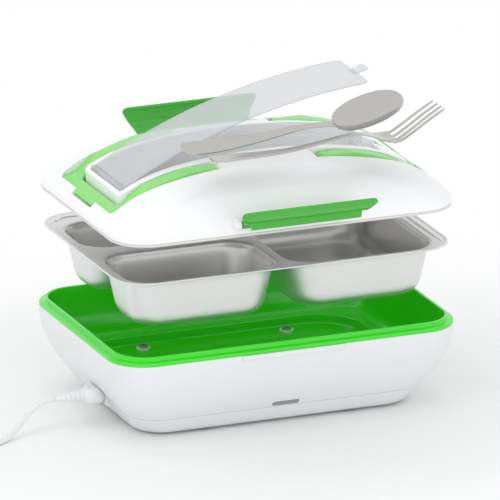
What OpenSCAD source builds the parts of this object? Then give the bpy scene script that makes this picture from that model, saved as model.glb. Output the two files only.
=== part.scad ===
// Electric lunch box, shown opened out: base on the table, steel food tray
// lifted above it, domed lid above the tray, cutlery cover swung up and the
// spoon and fork taken out. +X is the length, -Y the front, +Z up, and the
// origin is on the table under the middle of the base.

/* [Body] */
// Length of the base at its rim
body_l = 240; // [220:1:260]
// Width of the base at its rim
body_w = 168; // [155:1:180]
// Corner radius of the base at its rim, seen from above
body_r = 25.5; // [22:0.5:30]
// Height of the lower ridge of the base's rim
flange_z = 56.4; // [52:0.1:60]
// Wall of the plastic shells
wall = 2.2; // [1.8:0.1:2.6]

/* [Lid] */
// Length of the lid at its skirt
lid_l = 236.6; // [216:0.1:256]
// Width of the lid at its skirt
lid_w = 166.8; // [154:0.1:178]
// Height of the dome above the lid's lower edge
lid_h = 39.5; // [36:0.5:44]
// Height of the lid's straight skirt
skirt_h = 5; // [4:0.5:6]
// Corner radius of the lid at its skirt, seen from above
lid_r = 25.4; // [24:0.1:28]

/* [Tray] */
// Length of the food tray over its rolled rim
tray_l = 232.8; // [212:0.1:253]
// Width of the food tray over its rolled rim
tray_w = 162.6; // [150:0.1:174]
// Depth of the food compartments
bowl_h = 33; // [28:0.5:33.5]

/* [Pose] */
// Lift of the tray above its seat
tray_lift = 48.8; // [40:0.1:60]
// Lift of the lid above the seated lid, beyond the tray's own lift
lid_lift = 29; // [25:0.1:40]
// Swing of the cutlery cover from closed
cover_open = 16.8; // [12:0.1:20]
// Swing of the front latch from closed
front_open = 105; // [95:1:130]
// Swing of the rear latch from closed
rear_open = 140; // [120:1:150]

/* [Cord] */
// Diameter of the mains lead
cord_d = 3.8; // [3.4:0.1:3.8]

/* [Hidden] */
$fn = 48;

steel = [0.80, 0.80, 0.79];
white = [0.95, 0.95, 0.96];
green = [0.14, 0.73, 0.0];
leaf = [0.30, 0.76, 0.22];
cream = [0.93, 0.90, 0.84];

// Heights of the base, from the table up
foot_h = 1.5;
seam_z = 13.5;
floor_z = 27.5;
well_z = 21.5;
ridge_z = 61.8;
ridge_step = 2.6;
bottom_inset = 25.5;
tray_r = 23.4;
lid_seat = flange_z + ridge_step;
lid_rest = lid_seat + tray_lift + lid_lift;
tray_rest = ridge_z + tray_lift;

// Handles: hinge line, side rails and end bar
handle_hinge_x = 38;
handle_hinge_z = 32.3;
handle_outer = 45.4;
handle_inner = 33;
handle_bar_x = 102.5;
handle_end_x = 113;
handle_t = 4;
rail_y = (handle_inner + handle_outer) / 2;
rail_half = (handle_outer - handle_inner) / 2;
handle_gap = 0.5;
scoop_z = 13;
handle_xs = [handle_hinge_x, 46, 56, 66, 76, 84, 89, 93, 97, 100, handle_bar_x, 106, 109.5, handle_end_x];

// Cutlery cover, its recess and its hinge at the left end
cover_x = -5;
cover_half = 89;
cover_rise = 10;
cover_w = 52;
cover_t = 1.8;
cover_end_z = 24;
cover_r = (cover_half * cover_half + cover_rise * cover_rise) / (2 * cover_rise);
cover_hinge_x = cover_x - cover_half - 1.6;
cover_hinge_z = 22;
cover_pin_r = 1.2;
recess_floor = 13;
recess_w = 47;

// Flat panel that closes the dome from below
panel_z = 5.4;
panel_top = 7;

// Latches: hinge line measured from the lid's lower edge
latch_w = 94;
latch_bar_w = 76;
latch_hinge_y = body_w / 2 + 3.4;
latch_hinge_z = 9.5;
latch_pin_r = 1;

// Mains inlet in the left end wall and the indicator in the front wall
inlet_y = -15;
inlet_z = 19.2;
inlet_x = -107.5;
inlet_depth = 8.4;
lens_z = 16.2;

// Screws through the liner's floor into the posts of the bottom cover
screw_x = 50.5;
screw_y = 53.5;

// ---- shared shapes ----

// Corner points of a rounded rectangle at height z, eight chords a corner
function ring(l, w, r, z) = [
    for (c = [0 : 3])
        for (k = [0 : 6])
            let (a = 90 * c + 15 * k,
                 sx = (c == 0 || c == 3) ? 1 : -1,
                 sy = (c < 2) ? 1 : -1)
            [sx * (l / 2 - r) + r * cos(a), sy * (w / 2 - r) + r * sin(a), z]
];

// Closed solid through a stack of rings that all have the same count
module loft(rings) {
    n = len(rings[0]);
    levels = len(rings);
    points = [for (q = rings) for (p = q) p];
    sides = [
        for (i = [0 : levels - 2])
            for (k = [0 : n - 1])
                let (a = i * n + k, b = i * n + (k + 1) % n)
                for (t = [[a, a + n, b], [b, a + n, b + n]]) t
    ];
    low = [for (k = [0 : n - 1]) k];
    high = [for (k = [n - 1 : -1 : 0]) (levels - 1) * n + k];
    polyhedron(points = points, faces = concat([low], sides, [high]), convexity = 8);
}

// Straight block with rounded corners between two heights
module slab(l, w, r, z0, z1) {
    translate([0, 0, z0])
        linear_extrude(z1 - z0)
            rounded_rect(l, w, r);
}

module rounded_rect(l, w, r) {
    square([l - 2 * r, w], center = true);
    square([l, w - 2 * r], center = true);
    for (sx = [-1, 1])
        for (sy = [-1, 1])
            translate([sx * (l / 2 - r), sy * (w / 2 - r)])
                circle(r);
}

// Profile in the XZ plane, spread along Y from y0 to y1
module along_y(y0, y1) {
    translate([0, y1, 0])
        rotate([90, 0, 0])
            linear_extrude(y1 - y0)
                children();
}

// Profile in the YZ plane, spread along X about the middle
module along_x(l) {
    translate([-l / 2, 0, 0])
        rotate([90, 0, 90])
            linear_extrude(l)
                children();
}

// ---- base ----

// How far the base's wall stands in from its rim at height z
function base_inset(z) = z < seam_z
    ? bottom_inset - (bottom_inset - 16.9) * z / seam_z
    : 16.9 * pow(max(0, (55 - z) / (55 - seam_z)), 1.9);

function base_ring(z, extra) =
    let (i = base_inset(z))
    ring(body_l - 2 * (i + extra), body_w - 2 * (i + extra),
        body_r - 4.5 * i / bottom_inset - extra, z);

module base_shell() {
    outer = [seam_z, 18, 23, 29, 35, 41, 48, 55, flange_z];
    inner = [seam_z - 1, 18, 23, 29, 35, 41, 48, flange_z + 1];
    color(white) {
        difference() {
            loft([for (z = outer) base_ring(z, 0)]);
            loft([for (z = inner) base_ring(z, wall)]);
            inlet_cut();
            lens_cut();
        }
        catches();
    }
}

// Ledges under the rim, front and back, that the latches hook under
module catches() {
    for (s = [0, 1])
        mirror([0, s, 0])
            along_x(72)
                translate([body_w / 2 - 1.5, flange_z - 3.6])
                    square([2.7, 3.6]);
}

module inlet_cut() {
    translate([-body_l / 2, inlet_y - 12.2, inlet_z - 5.4])
        cube([30, 24.4, 10.8]);
}

module lens_cut() {
    translate([-9.2, -body_w / 2, lens_z - 1.5])
        cube([18.4, 30, 3]);
}

module at_screws() {
    for (sx = [-1, 1])
        for (sy = [-1, 1])
            translate([sx * screw_x, sy * screw_y, 0])
                children();
}

module bottom_cover() {
    color(white) {
        difference() {
            loft([for (z = [foot_h, 3, 8, seam_z])
                base_ring(z, z == foot_h ? 1.5 : 0)]);
            loft([for (z = [foot_h + wall, 8, seam_z + 1]) base_ring(z, wall)]);
            at_screws()
                cylinder_between(3.9, foot_h - 1, foot_h + wall + 1);
        }
        at_screws()
            difference() {
                cylinder_between(4, foot_h, well_z - 2);
                cylinder_between(1.4, foot_h - 1, well_z);
            }
    }
}

module cylinder_between(r, z0, z1) {
    translate([0, 0, z0])
        cylinder(r = r, h = z1 - z0);
}

module rubber_feet() {
    color([0.75, 0.75, 0.75])
        for (sx = [-1, 1])
            for (sy = [-1, 1])
                translate([sx * 76, sy * 40, 0])
                    cylinder(r = 5, h = foot_h);
}

// Green tub: double ridge, sloping walls, ledge and the sunken well
module inner_liner() {
    cavity = [[20, floor_z], [14.5, 29], [11, 34], [8.6, 41], [7, 50], [5.7, ridge_z + 1]];
    tub = [[20.5, floor_z - 2], [12.4, 28.5], [9.2, 34.5], [7, 41], [5, 50], [4.6, flange_z]];
    color(green)
        difference() {
            union() {
                loft([for (p = tub) liner_ring(p)]);
                slab(190 + 4, 126 + 4, 30, well_z - 2, floor_z - 1);
                slab(body_l, body_w, body_r, flange_z, flange_z + ridge_step);
                slab(body_l - 8, body_w - 8, body_r - 4, flange_z, ridge_z);
            }
            loft([for (p = cavity) liner_ring(p)]);
            slab(190, 126, 30, well_z, floor_z + 1);
            at_screws()
                cylinder_between(1.7, well_z - 3, well_z + 1);
        }
}

function liner_ring(p) =
    ring(body_l - 2 * p[0], body_w - 2 * p[0], body_r - 4 - 2 * p[0] / 24, p[1]);

// ---- heating parts under the liner ----

plate_z = well_z - 2;
module heat_plate() {
    color(steel)
        translate([0, 0, plate_z - 1.5])
            linear_extrude(1.5)
                rounded_rect(150, 92, 8);
}

module heater_element() {
    color([0.35, 0.33, 0.31])
        translate([-32, -17, plate_z - 7.5])
            cube([64, 34, 6]);
}

module heater_terminals() {
    color(steel)
        for (s = [-1, 1])
            translate([-44, s * 9 - 3, plate_z - 5])
                cube([12, 6, 0.8]);
}

module thermostat() {
    color([0.75, 0.72, 0.66])
        translate([52, 0, plate_z - 8.5]) {
            cylinder(r = 8, h = 7);
            for (s = [-1, 1])
                translate([-3, s * 11 - 3, 1])
                    cube([6, 6, 0.8]);
        }
}

module thermal_fuse() {
    color([0.90, 0.88, 0.80])
        translate([46, 26, plate_z - 4.2])
            rotate([0, 90, 0])
                cylinder(r = 2.6, h = 14);
}

module liner_screws() {
    color(steel)
        at_screws() {
            cylinder_between(1.3, 5, well_z + 1);
            difference() {
                cylinder_between(3, well_z + 1, well_z + 2.4);
                for (a = [0, 90])
                    rotate(a)
                        translate([-1.8, -0.35, well_z + 1.6])
                            cube([3.6, 0.7, 2]);
            }
        }
}

module screw_washers() {
    color(white)
        at_screws()
            difference() {
                cylinder_between(4.6, well_z, well_z + 1);
                cylinder_between(1.35, well_z - 1, well_z + 2);
            }
}

// ---- electrical parts in the walls ----

module inlet_socket() {
    color([0.90, 0.90, 0.90])
        translate([inlet_x, inlet_y, inlet_z])
            difference() {
                union() {
                    translate([0, -12, -5.2])
                        cube([inlet_depth + 1.5, 24, 10.4]);
                    translate([inlet_depth, -12, -5.2])
                        cube([11, 24, 5.2]);
                    translate([4.6, -14, -1.6])
                        cube([2, 2.4, 6]);
                }
                c7_opening(inlet_depth);
            }
}

// Two round sockets side by side: the figure-of-eight opening
module c7_opening(depth) {
    rotate([0, 90, 0])
        translate([0, 0, -1])
            linear_extrude(depth + 1)
                figure_eight(0);
}

module figure_eight(less) {
    for (s = [-1, 1])
        translate([0, s * 4.1])
            circle(4.2 - less);
    square([2 * (4.2 - less), 8.2], center = true);
}

module inlet_pins() {
    color(steel)
        for (s = [-1, 1])
            translate([inlet_x + 2.5, inlet_y + s * 4.1, inlet_z])
                rotate([0, 90, 0])
                    cylinder(r = 1.2, h = inlet_depth - 2.5);
}

module indicator_lens() {
    color([0.55, 0.56, 0.57])
        translate([-9, -body_w / 2 + 14.6, lens_z - 1.3])
            cube([18, 4, 2.6]);
}

module indicator_lamp() {
    color([0.85, 0.3, 0.2])
        translate([0, -body_w / 2 + 19.4, lens_z]) {
            rotate([-90, 0, 0])
                cylinder(r = 1.5, h = 5);
            translate([-6, 5, -4])
                cube([12, 1.2, 6]);
        }
}

// Insulated wires from the inlet to the heater, the thermostat and the lamp
module internal_wires() {
    runs = [
        [[-87.6, -19, 16.5], [-72, -19, 9], [-56, -10, 9], [-47, -9, 14.9]],
        [[-87.6, -11, 16.5], [-74, -2, 8], [-56, 9, 8], [-47, 9, 14.9]],
        [[-47, -12, 14], [-40, -30, 8], [-10, -50, 8], [-3, -57.2, 13.6]]
    ];
    color([0.85, 0.75, 0.3])
        for (run = runs)
            tube(run, 0.8, 8);
}

// ---- swept tube along a list of points ----

function unit(v) = v / norm(v);

function tangent(path, i) = unit(path[min(i + 1, len(path) - 1)] - path[max(i - 1, 0)]);

function tube_ring(path, i, r, sides) =
    let (t = tangent(path, i),
         side = unit(cross(t, [0.02, 0.03, 1])),
         up = cross(side, t))
    [for (k = [0 : sides - 1])
        let (a = 360 * (k + 0.5) / sides)
        path[i] + r * (cos(a) * side + sin(a) * up)];

module tube(path, r, sides) {
    loft_any([for (i = [0 : len(path) - 1]) tube_ring(path, i, r, sides)]);
}

// Loft whose rings may point any way; the winding suits a tube's own frame
module loft_any(rings) {
    n = len(rings[0]);
    levels = len(rings);
    points = [for (q = rings) for (p = q) p];
    sides = [
        for (i = [0 : levels - 2])
            for (k = [0 : n - 1])
                let (a = i * n + k, b = i * n + (k + 1) % n)
                for (t = [[a, b, a + n], [b, b + n, a + n]]) t
    ];
    low = [for (k = [n - 1 : -1 : 0]) k];
    high = [for (k = [0 : n - 1]) (levels - 1) * n + k];
    polyhedron(points = points, faces = concat([low], sides, [high]), convexity = 8);
}

// ---- food tray ----

// Compartments: middle x, middle y, length, width and corner radius
bowls = [
    [-57.2, -45, 104, 65, 18],
    [-57.2, 31.5, 104, 57, 18],
    [53, -8.3, 103, 137, 20]
];

function bowl_rings(b, extra, low) = [
    for (p = [[13, low], [9.6, low + 1.4], [7.4, low + 4.6], [5.6, low + 10], [2.2, -4], [0, 1.6 + extra]])
        let (r = ring(b[2] - 2 * (p[0] + extra), b[3] - 2 * (p[0] + extra),
            b[4] - p[0] * 0.35 - extra, p[1]))
        [for (q = r) q + [b[0], b[1], 0]]
];

module food_tray() {
    color(steel)
        translate([0, 0, tray_rest])
            difference() {
                union() {
                    slab(tray_l - 1.6, tray_w - 1.6, tray_r - 0.8, 0, 1);
                    rim_roll();
                    for (b = bowls)
                        loft(bowl_rings(b, -0.8, -bowl_h));
                }
                for (b = bowls)
                    loft(bowl_rings(b, 0, 0.8 - bowl_h));
            }
}

// Rolled edge round the tray
module rim_roll() {
    difference() {
        slab(tray_l, tray_w, tray_r, 0, 1.6);
        slab(tray_l - 4, tray_w - 4, tray_r - 2, -1, 3);
    }
}

// ---- lid ----

// Half length and half width of the dome as a share of the skirt's, where t
// runs from 0 at the skirt's top to 1 at the dome's top
function dome_x(t) = pow(1 - pow(t, 1.3), 0.39);
function dome_y(t) = pow(1 - pow(t, 1.3), 0.31);

// Height of the dome's surface above the lid's lower edge, along its length
function dome_z(x) = skirt_h + (lid_h - skirt_h) * pow(1 - pow(x / (lid_l / 2), 2.564), 0.769);

function dome_ring(t, inset) = ring(
    lid_l * dome_x(t) - 2 * inset, lid_w * dome_y(t) - 2 * inset,
    min(lid_w * dome_y(t) / 2 - inset - 1, lid_r + 11 * t - inset),
    skirt_h + (lid_h - skirt_h - inset) * t);

dome_steps = [0 : 7 : 84];

module dome(inset, low) {
    loft(concat(
        [ring(lid_l - 2 * inset, lid_w - 2 * inset, lid_r - inset, low)],
        [for (a = dome_steps) dome_ring(sin(a), inset)]));
}

seal_h = 1.8;
module lid_shell() {
    color(white)
        translate([0, 0, lid_rest]) {
            difference() {
                dome(0, seal_h);
                difference() {
                    dome(1.4, seal_h - 1);
                    recess_block();
                    for (s = [0, 1])
                        mirror([s, 0, 0])
                            handle_block();
                }
                cutlery_recess();
                for (s = [0, 1])
                    mirror([s, 0, 0])
                        handle_pocket();
            }
            latch_lugs();
        }
}

// Solid that stays under a handle and its finger scoop, clear of the panel
module handle_block() {
    handle_bands(3, 10, 2.4, panel_top + 0.2);
    translate([handle_bar_x, -20, panel_top + 0.2])
        cube([20, 40, 14]);
}

// Solid that stays round the cutlery compartment
module recess_block() {
    translate([cover_x, 0, 0])
        slab(2 * cover_half + 13, cover_w + 9, 5, recess_floor - 2, lid_h);
}

// Cutlery compartment: trough, ledge for the cover and the cover's hinge seat
module cutlery_recess() {
    translate([cover_x + 3, 0, 0])
        slab(2 * cover_half - 10, recess_w, 6, recess_floor, lid_h + 5);
    along_y(-cover_w / 2 - 0.6, cover_w / 2 + 0.6)
        cover_outline(0.4, 24, 0.6);
    translate([cover_hinge_x, 0, cover_hinge_z])
        rotate([90, 0, 0]) {
            cylinder(r = 2.6, h = cover_w + 1.2, center = true);
            cylinder(r = cover_pin_r + 0.1, h = cover_w + 6, center = true);
        }
    translate([cover_hinge_x - 2.6, -cover_w / 2 - 0.6, cover_hinge_z])
        cube([6, cover_w + 1.2, 24]);
    translate([cover_x + cover_half - 1, -7, cover_end_z - 3])
        cube([11.6, 14, 24]);
}

// Height of the closed cover's underside at x, from the lid's lower edge
function cover_low(x) = cover_end_z - cover_t + cover_rise - cover_r
    + sqrt(cover_r * cover_r - (x - cover_x) * (x - cover_x));

// The closed cover's side outline, grown below, above and at its ends
module cover_outline(below, above, ends) {
    reach = cover_half + ends;
    xs = [for (k = [-12 : 12]) cover_x + reach * k / 12];
    polygon(concat(
        [for (x = xs) [x, cover_low(x) - below]],
        [for (i = [len(xs) - 1 : -1 : 0]) [xs[i], cover_low(xs[i]) + cover_t + above]]));
}

// ---- handles ----

// How far a handle dips below the dome's line on its way to the end bar
function handle_dip(x) = x < 84 ? 0
    : 4.1 * pow(sin(180 * pow(min(1, (x - 84) / (handle_end_x - 84)), 1.35)), 2);

// Height of a handle's top face: it follows the dome, then dips to the end bar
function handle_top(x) = min(handle_hinge_z + 2.6, dome_z(x) - 0.6 - handle_dip(x));

// Height of its underside: the bar thins towards the end of the lid
function handle_low(x) = handle_top(x) - handle_t + 0.2 * max(0, x - handle_bar_x);

// Side outline of a handle, grown below, above and past its end, and no lower
// than least
module handle_outline(below, above, first, more, least) {
    xs = concat([first], [for (x = handle_xs) if (x > first + 0.1) x], more > 0 ? [handle_end_x + more] : []);
    n = len(xs);
    polygon(concat(
        [for (i = [n - 1 : -1 : 0]) [xs[i], handle_top(xs[i]) + above]],
        [for (x = xs) [x - max(0, (x - 76) / 16), max(least, handle_low(x) - below)]],
        [[xs[n - 1], handle_top(xs[n - 1]) - 0.7]]));
}

// Two side rails and the end bar, with their sides grown
module handle_bands(below, above, grow, least = 0) {
    for (s = [-1, 1])
        along_y(s * rail_y - rail_half - grow, s * rail_y + rail_half + grow)
            handle_outline(below, above, handle_hinge_x, grow, least);
    along_y(-handle_inner, handle_inner)
        handle_outline(below, above, handle_bar_x - grow, grow, least);
}

// Room for the right handle in the dome: its own shape, room for its barrels
// to turn, a finger scoop under the bar and the bores for its pins
module handle_pocket() {
    handle_bands(handle_gap, 40, handle_gap);
    for (s = [-1, 1])
        along_y(s * rail_y - rail_half - handle_gap, s * rail_y + rail_half + handle_gap) {
            translate([handle_hinge_x, handle_hinge_z])
                circle(r = 3.2);
            polygon([
                [handle_hinge_x - 3.2, handle_hinge_z],
                [handle_hinge_x - 11, handle_hinge_z + 7],
                [handle_hinge_x - 11, lid_h + 6],
                [handle_hinge_x + 1, lid_h + 6],
                [handle_hinge_x + 1, handle_hinge_z]
            ]);
        }
    translate([handle_end_x - 0.6, 0, scoop_z])
        rotate([90, 0, 0])
            cylinder(r = 4.4, h = 34, center = true);
    for (s = [-1, 1])
        translate([0, s * rail_y, 0])
            handle_axis()
                cylinder(r = 1.35, h = 2 * rail_half + 4.4, center = true);
}

module handle_axis() {
    translate([handle_hinge_x, 0, handle_hinge_z])
        rotate([90, 0, 0])
            children();
}

module handle() {
    difference() {
        union() {
            handle_bands(0, 0, 0);
            for (s = [-1, 1])
                translate([0, s * rail_y, 0])
                    handle_axis()
                        cylinder(r = 2.6, h = 2 * rail_half, center = true);
        }
        handle_axis()
            cylinder(r = 1.3, h = 120, center = true);
    }
}

module right_handle() {
    color(leaf)
        translate([0, 0, lid_rest])
            handle();
}

module left_handle() {
    color(leaf)
        translate([0, 0, lid_rest])
            mirror([1, 0, 0])
                handle();
}

// One short pin in each rail's end, into the dome on both sides of the rail
module handle_pins() {
    color(steel)
        translate([0, 0, lid_rest])
            for (m = [0, 1])
                mirror([m, 0, 0])
                    for (s = [-1, 1])
                        translate([0, s * rail_y, 0])
                            handle_axis()
                                cylinder(r = 1.25, h = 2 * rail_half + 4, center = true);
}

// ---- lid's inner parts ----

module lid_inner_panel() {
    color(white)
        translate([0, 0, lid_rest])
            slab(lid_l - 6.4, lid_w - 7, lid_r - 0.6, panel_z, panel_top);
}

module panel_gasket() {
    color(cream)
        translate([0, 0, lid_rest])
            difference() {
                slab(lid_l - 8, lid_w - 9, lid_r - 4, panel_z - 0.8, panel_z);
                slab(lid_l - 17, lid_w - 16, lid_r - 8, panel_z - 1, panel_z + 1);
            }
}

module lid_seal() {
    color(cream)
        translate([0, 0, lid_rest])
            difference() {
                slab(lid_l, lid_w, lid_r, 0, seal_h);
                slab(lid_l - 2.8, lid_w - 2.8, lid_r - 1.4, -1, seal_h + 1);
            }
}

// ---- cutlery cover ----

module at_cover_hinge(angle) {
    translate([cover_hinge_x, 0, lid_rest + cover_hinge_z])
        rotate([0, -angle, 0])
            translate([-cover_hinge_x, 0, -cover_hinge_z])
                children();
}

module cutlery_cover() {
    color([0.92, 0.93, 0.95, 0.6])
        at_cover_hinge(cover_open) {
            along_y(-cover_w / 2, cover_w / 2)
                cover_outline(0, 0, 0);
            translate([cover_x + cover_half - 1.5, -5.5, cover_end_z - cover_t])
                cube([10, 11, cover_t]);
            for (s = [-1, 1])
                translate([cover_hinge_x, s * cover_w / 4, cover_hinge_z])
                    rotate([90, 0, 0])
                        cylinder(r = 2.1, h = cover_w / 2, center = true);
            translate([cover_hinge_x, 0, cover_hinge_z])
                rotate([90, 0, 0])
                    cylinder(r = cover_pin_r, h = cover_w + 5, center = true);
            translate([cover_hinge_x, -cover_w / 2, cover_hinge_z + 0.3])
                cube([3, cover_w, 1.8]);
        }
}

// ---- latches ----

// Side outlines of a closed latch, measured from its hinge: u outwards, v up
bar_outline = [[0.1, 0], [0.4, -13], [0.4, -16], [-3, -16], [-3, -17.2], [0.9, -19.4], [3.2, -19],
    [2.9, -10], [2.6, 0]];
lip_outline = [[0.7, -18.6], [1.4, -21], [3.4, -24], [6.6, -27.2], [8.2, -28], [9.4, -27.4], [9.4, -26.4],
    [7.4, -25], [5, -22], [3.6, -18.6], [3.1, -14], [2.8, -6], [1.4, -6], [1, -14]];

// Half of the face seen from outside: it widens from the bar to the lip
face_half = [[38, -5.5], [38.2, -8], [39, -11.5], [40.6, -15], [43, -18.5], [45.4, -21.5], [46.8, -23.8],
    [47, -25.5], [46.6, -27], [45.2, -28.2], [43.5, -28.6]];

module latch_lugs() {
    for (m = [0, 1])
        mirror([0, m, 0])
            for (s = [-1, 1])
                translate([s * (latch_bar_w / 2 + 2.2), 0, 0])
                    difference() {
                        along_x(3.6)
                            union() {
                                translate([latch_hinge_y, latch_hinge_z])
                                    circle(r = 2.6);
                                polygon([
                                    [body_w / 2 - 1.8, latch_hinge_z - 4.5],
                                    [latch_hinge_y, latch_hinge_z - 2.6],
                                    [latch_hinge_y, latch_hinge_z + 2.6],
                                    [body_w / 2 - 4.8, latch_hinge_z + 3.2]
                                ]);
                            }
                        translate([0, latch_hinge_y, latch_hinge_z])
                            rotate([0, 90, 0])
                                cylinder(r = latch_pin_r, h = 10, center = true);
                    }
}

// A latch on the rear side, closed, then swung open about its hinge
module latch(angle) {
    translate([0, latch_hinge_y, lid_rest + latch_hinge_z])
        rotate([angle, 0, 0])
            difference() {
                union() {
                    along_x(latch_bar_w)
                        union() {
                            circle(r = 2.6);
                            polygon(bar_outline);
                        }
                    intersection() {
                        along_x(latch_w)
                            polygon(lip_outline);
                        face_plan();
                    }
                    finger_pad();
                }
                rotate([0, 90, 0])
                    cylinder(r = latch_pin_r + 0.08, h = latch_w, center = true);
            }
}

// The face's outline seen from outside, carried through the lip
module face_plan() {
    translate([0, 12, 0])
        rotate([90, 0, 0])
            linear_extrude(24)
                polygon(concat(face_half, [for (k = [len(face_half) - 1 : -1 : 0])
                    [-face_half[k][0], face_half[k][1]]]));
}

// Raised oval on the latch's face
module finger_pad() {
    intersection() {
        along_x(46)
            polygon([for (p = lip_outline) p + [0.5, -0.3]]);
        translate([0, 12, -21.8])
            rotate([90, 0, 0])
                linear_extrude(24)
                    resize_oval(46, 7);
    }
}

module resize_oval(l, w) {
    scale([l / w, 1])
        circle(d = w);
}

module rear_latch() {
    color(green)
        latch(rear_open);
}

module front_latch() {
    color(green)
        mirror([0, 1, 0])
            latch(front_open);
}

module latch_pins() {
    color(steel)
        for (s = [-1, 1])
            translate([0, s * latch_hinge_y, lid_rest + latch_hinge_z])
                rotate([0, 90, 0])
                    cylinder(r = latch_pin_r, h = latch_bar_w + 7.6, center = true);
}

// ---- spoon and fork ----

// Dished strip of sheet: each station gives x, height, half width and dish.
// Both faces share their diagonals, so that the sheet keeps its thickness.
module utensil(stations, t) {
    ks = [-1, -0.66, -0.33, 0, 0.33, 0.66, 1];
    n = len(ks);
    m = len(stations);
    top = [for (s = stations) for (k = ks) [s[0], k * s[2], s[1] - s[3] * (1 - k * k)]];
    low = [for (p = top) [p[0], p[1], p[2] - t]];
    o = m * n;
    skins = [
        for (i = [0 : m - 2])
            for (k = [0 : n - 2])
                let (a = i * n + k, b = a + 1, c = a + n, d = c + 1)
                for (f = [[a, b, c], [b, d, c], [o + a, o + c, o + b], [o + b, o + c, o + d]]) f
    ];
    rims = [
        for (i = [0 : m - 2])
            let (a = i * n, c = a + n, e = a + n - 1, g = e + n)
            for (f = [[a, c, o + a], [c, o + c, o + a], [e, o + e, g], [g, o + e, o + g]]) f
    ];
    last = (m - 1) * n;
    ends = [
        for (k = [0 : n - 2])
            for (f = [[k, o + k, k + 1], [k + 1, o + k, o + k + 1],
                [last + k, last + k + 1, o + last + k], [last + k + 1, o + last + k + 1, o + last + k]]) f
    ];
    polyhedron(points = concat(top, low), faces = concat(skins, rims, ends), convexity = 6);
}

// Flat strip of sheet: each station gives x, height of its top, half width and
// thickness
module strip(stations) {
    loft_any([for (s = stations)
        [[s[0], -s[2], s[1]], [s[0], s[2], s[1]], [s[0], s[2], s[1] - s[3]], [s[0], -s[2], s[1] - s[3]]]]);
}

spoon_y = -64.5;
bowl_tilt = 18.5;
bowl_len = 48;
spoon_neck = [35, 199.6];
spoon_roll = 15;
module spoon() {
    handle = [[-69, 194.2, 4, 0.3], [-67.5, 194.1, 7.4, 0.3], [-60, 193.8, 8, 0.3], [-40, 194, 7, 0.3],
        [-15, 196.4, 5, 0.3], [4, 199.2, 3.6, 0.3], [17, 200.3, 3, 0.3], [28, 200.2, 2.8, 0.3]];
    bowl = [for (k = [1 : 17])
        let (a = 180 - 10 * k,
             u = bowl_len / 2 * (1 + cos(a)),
             w = 17 * pow(sin(a), 0.8))
        [spoon_neck[0] + u * cos(bowl_tilt), spoon_neck[1] + u * sin(bowl_tilt), w, 6.8 * pow(sin(a), 1.5)]];
    color(steel)
        translate([0, spoon_y, spoon_neck[1]])
            rotate([spoon_roll, 0, 0])
                translate([0, 0, -spoon_neck[1]])
                    utensil(concat(handle, bowl), 1.2);
}

fork_y = -60;
tine_pitch = 6.4;
module fork() {
    color(steel)
        translate([0, fork_y, 0]) {
            strip([[-48, 184.2, 4, 1.2], [-46.5, 184.2, 7, 1.2], [-36, 183.9, 7.6, 1.2], [-12, 183.7, 6, 1.2],
                [8, 184.4, 4.6, 1.2], [29, 187, 3.4, 1.2], [42, 189, 3, 1.2], [53, 189.6, 3.1, 1.2],
                [61, 188.4, 4.6, 1.2], [67, 186.3, 8.4, 1.2], [73, 184.7, 11.4, 1.2], [79, 184.9, 12, 1.2]]);
            for (k = [-1.5 : 1 : 1.5])
                translate([-0.6 * abs(k), k * tine_pitch, 0])
                    strip([[75, 184.4, 0.9, 0.5], [80.5, 185.3, 1.4, 1.2], [85, 187.5, 1.5, 1.2],
                        [92, 191.6, 1.5, 1.2], [100, 196.4, 1.4, 1.2], [107, 200.4, 1.2, 1.2],
                        [111, 202.6, 0.6, 1.2]]);
        }
}

// ---- mains lead ----

connector_x = -108.5;
relief_x = connector_x - 11;
relief_l = 20;
coil_at = [-246, -52];
coil_turn = 22;
module lead_connector() {
    color(white) {
        translate([connector_x, inlet_y, inlet_z])
            rotate([0, -90, 0])
                linear_extrude(11)
                    rounded_rect(10, 18, 4);
        translate([connector_x, inlet_y, inlet_z])
            rotate([0, 90, 0])
                difference() {
                    linear_extrude(8)
                        figure_eight(0.4);
                    for (s = [-1, 1])
                        translate([0, s * 4.1, 1])
                            cylinder(r = 1.5, h = 8);
                }
    }
}

module strain_relief() {
    color(white)
        translate([relief_x, inlet_y, inlet_z])
            rotate([0, -90, 0])
                rotate_extrude()
                    polygon(concat(
                        [[0, 0], [4.2, 0]],
                        [for (k = [0 : 5]) each [
                            [4.1 - 0.36 * k, 1.6 + 3.1 * k],
                            [3.3 - 0.26 * k, 2.2 + 3.1 * k],
                            [3.2 - 0.26 * k, 3.4 + 3.1 * k],
                            [3.8 - 0.36 * k, 4 + 3.1 * k]]],
                        [[2.0, relief_l], [0, relief_l]]));
}

// Middle line of the lead from the strain relief to the coil on the table
cord_route = [[-139.6, -15, 19.2], [-145, -15, 18.8], [-151, -16, 17], [-157, -18, 13.9], [-163, -21, 10],
    [-169, -25, 6.2], [-175, -29, 3.2], [-181, -33, 2], [-188, -37.5, 1.95], [-196, -42, 1.95],
    [-204, -47, 1.95], [-212, -52.5, 1.95], [-218.8, -57.4, 1.95]];

module cord_tube() {
    color(white)
        tube(cord_route, cord_d / 2, 8);
}

module cord_coil() {
    color(white)
        translate([coil_at[0], coil_at[1], 0])
            rotate_extrude()
                translate([coil_turn - 4.4, 0])
                    square([8.8, 10.4]);
}

module cord_tie() {
    color([0.2, 0.2, 0.2])
        translate([coil_at[0], coil_at[1] + coil_turn, 0])
            difference() {
                translate([-2.5, -5.9, 0])
                    cube([5, 11.7, 11.6]);
                translate([-4, -4.8, -1])
                    cube([8, 9.5, 11.5]);
            }
}

plug_at = [-262, -98.4, 0];
module mains_plug() {
    color(white)
        translate(plug_at)
            rotate([0, 0, 20]) {
                translate([0, 0, 7])
                    rotate([0, 90, 0])
                        linear_extrude(22)
                            rounded_rect(14, 26, 6.5);
            }
}

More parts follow.
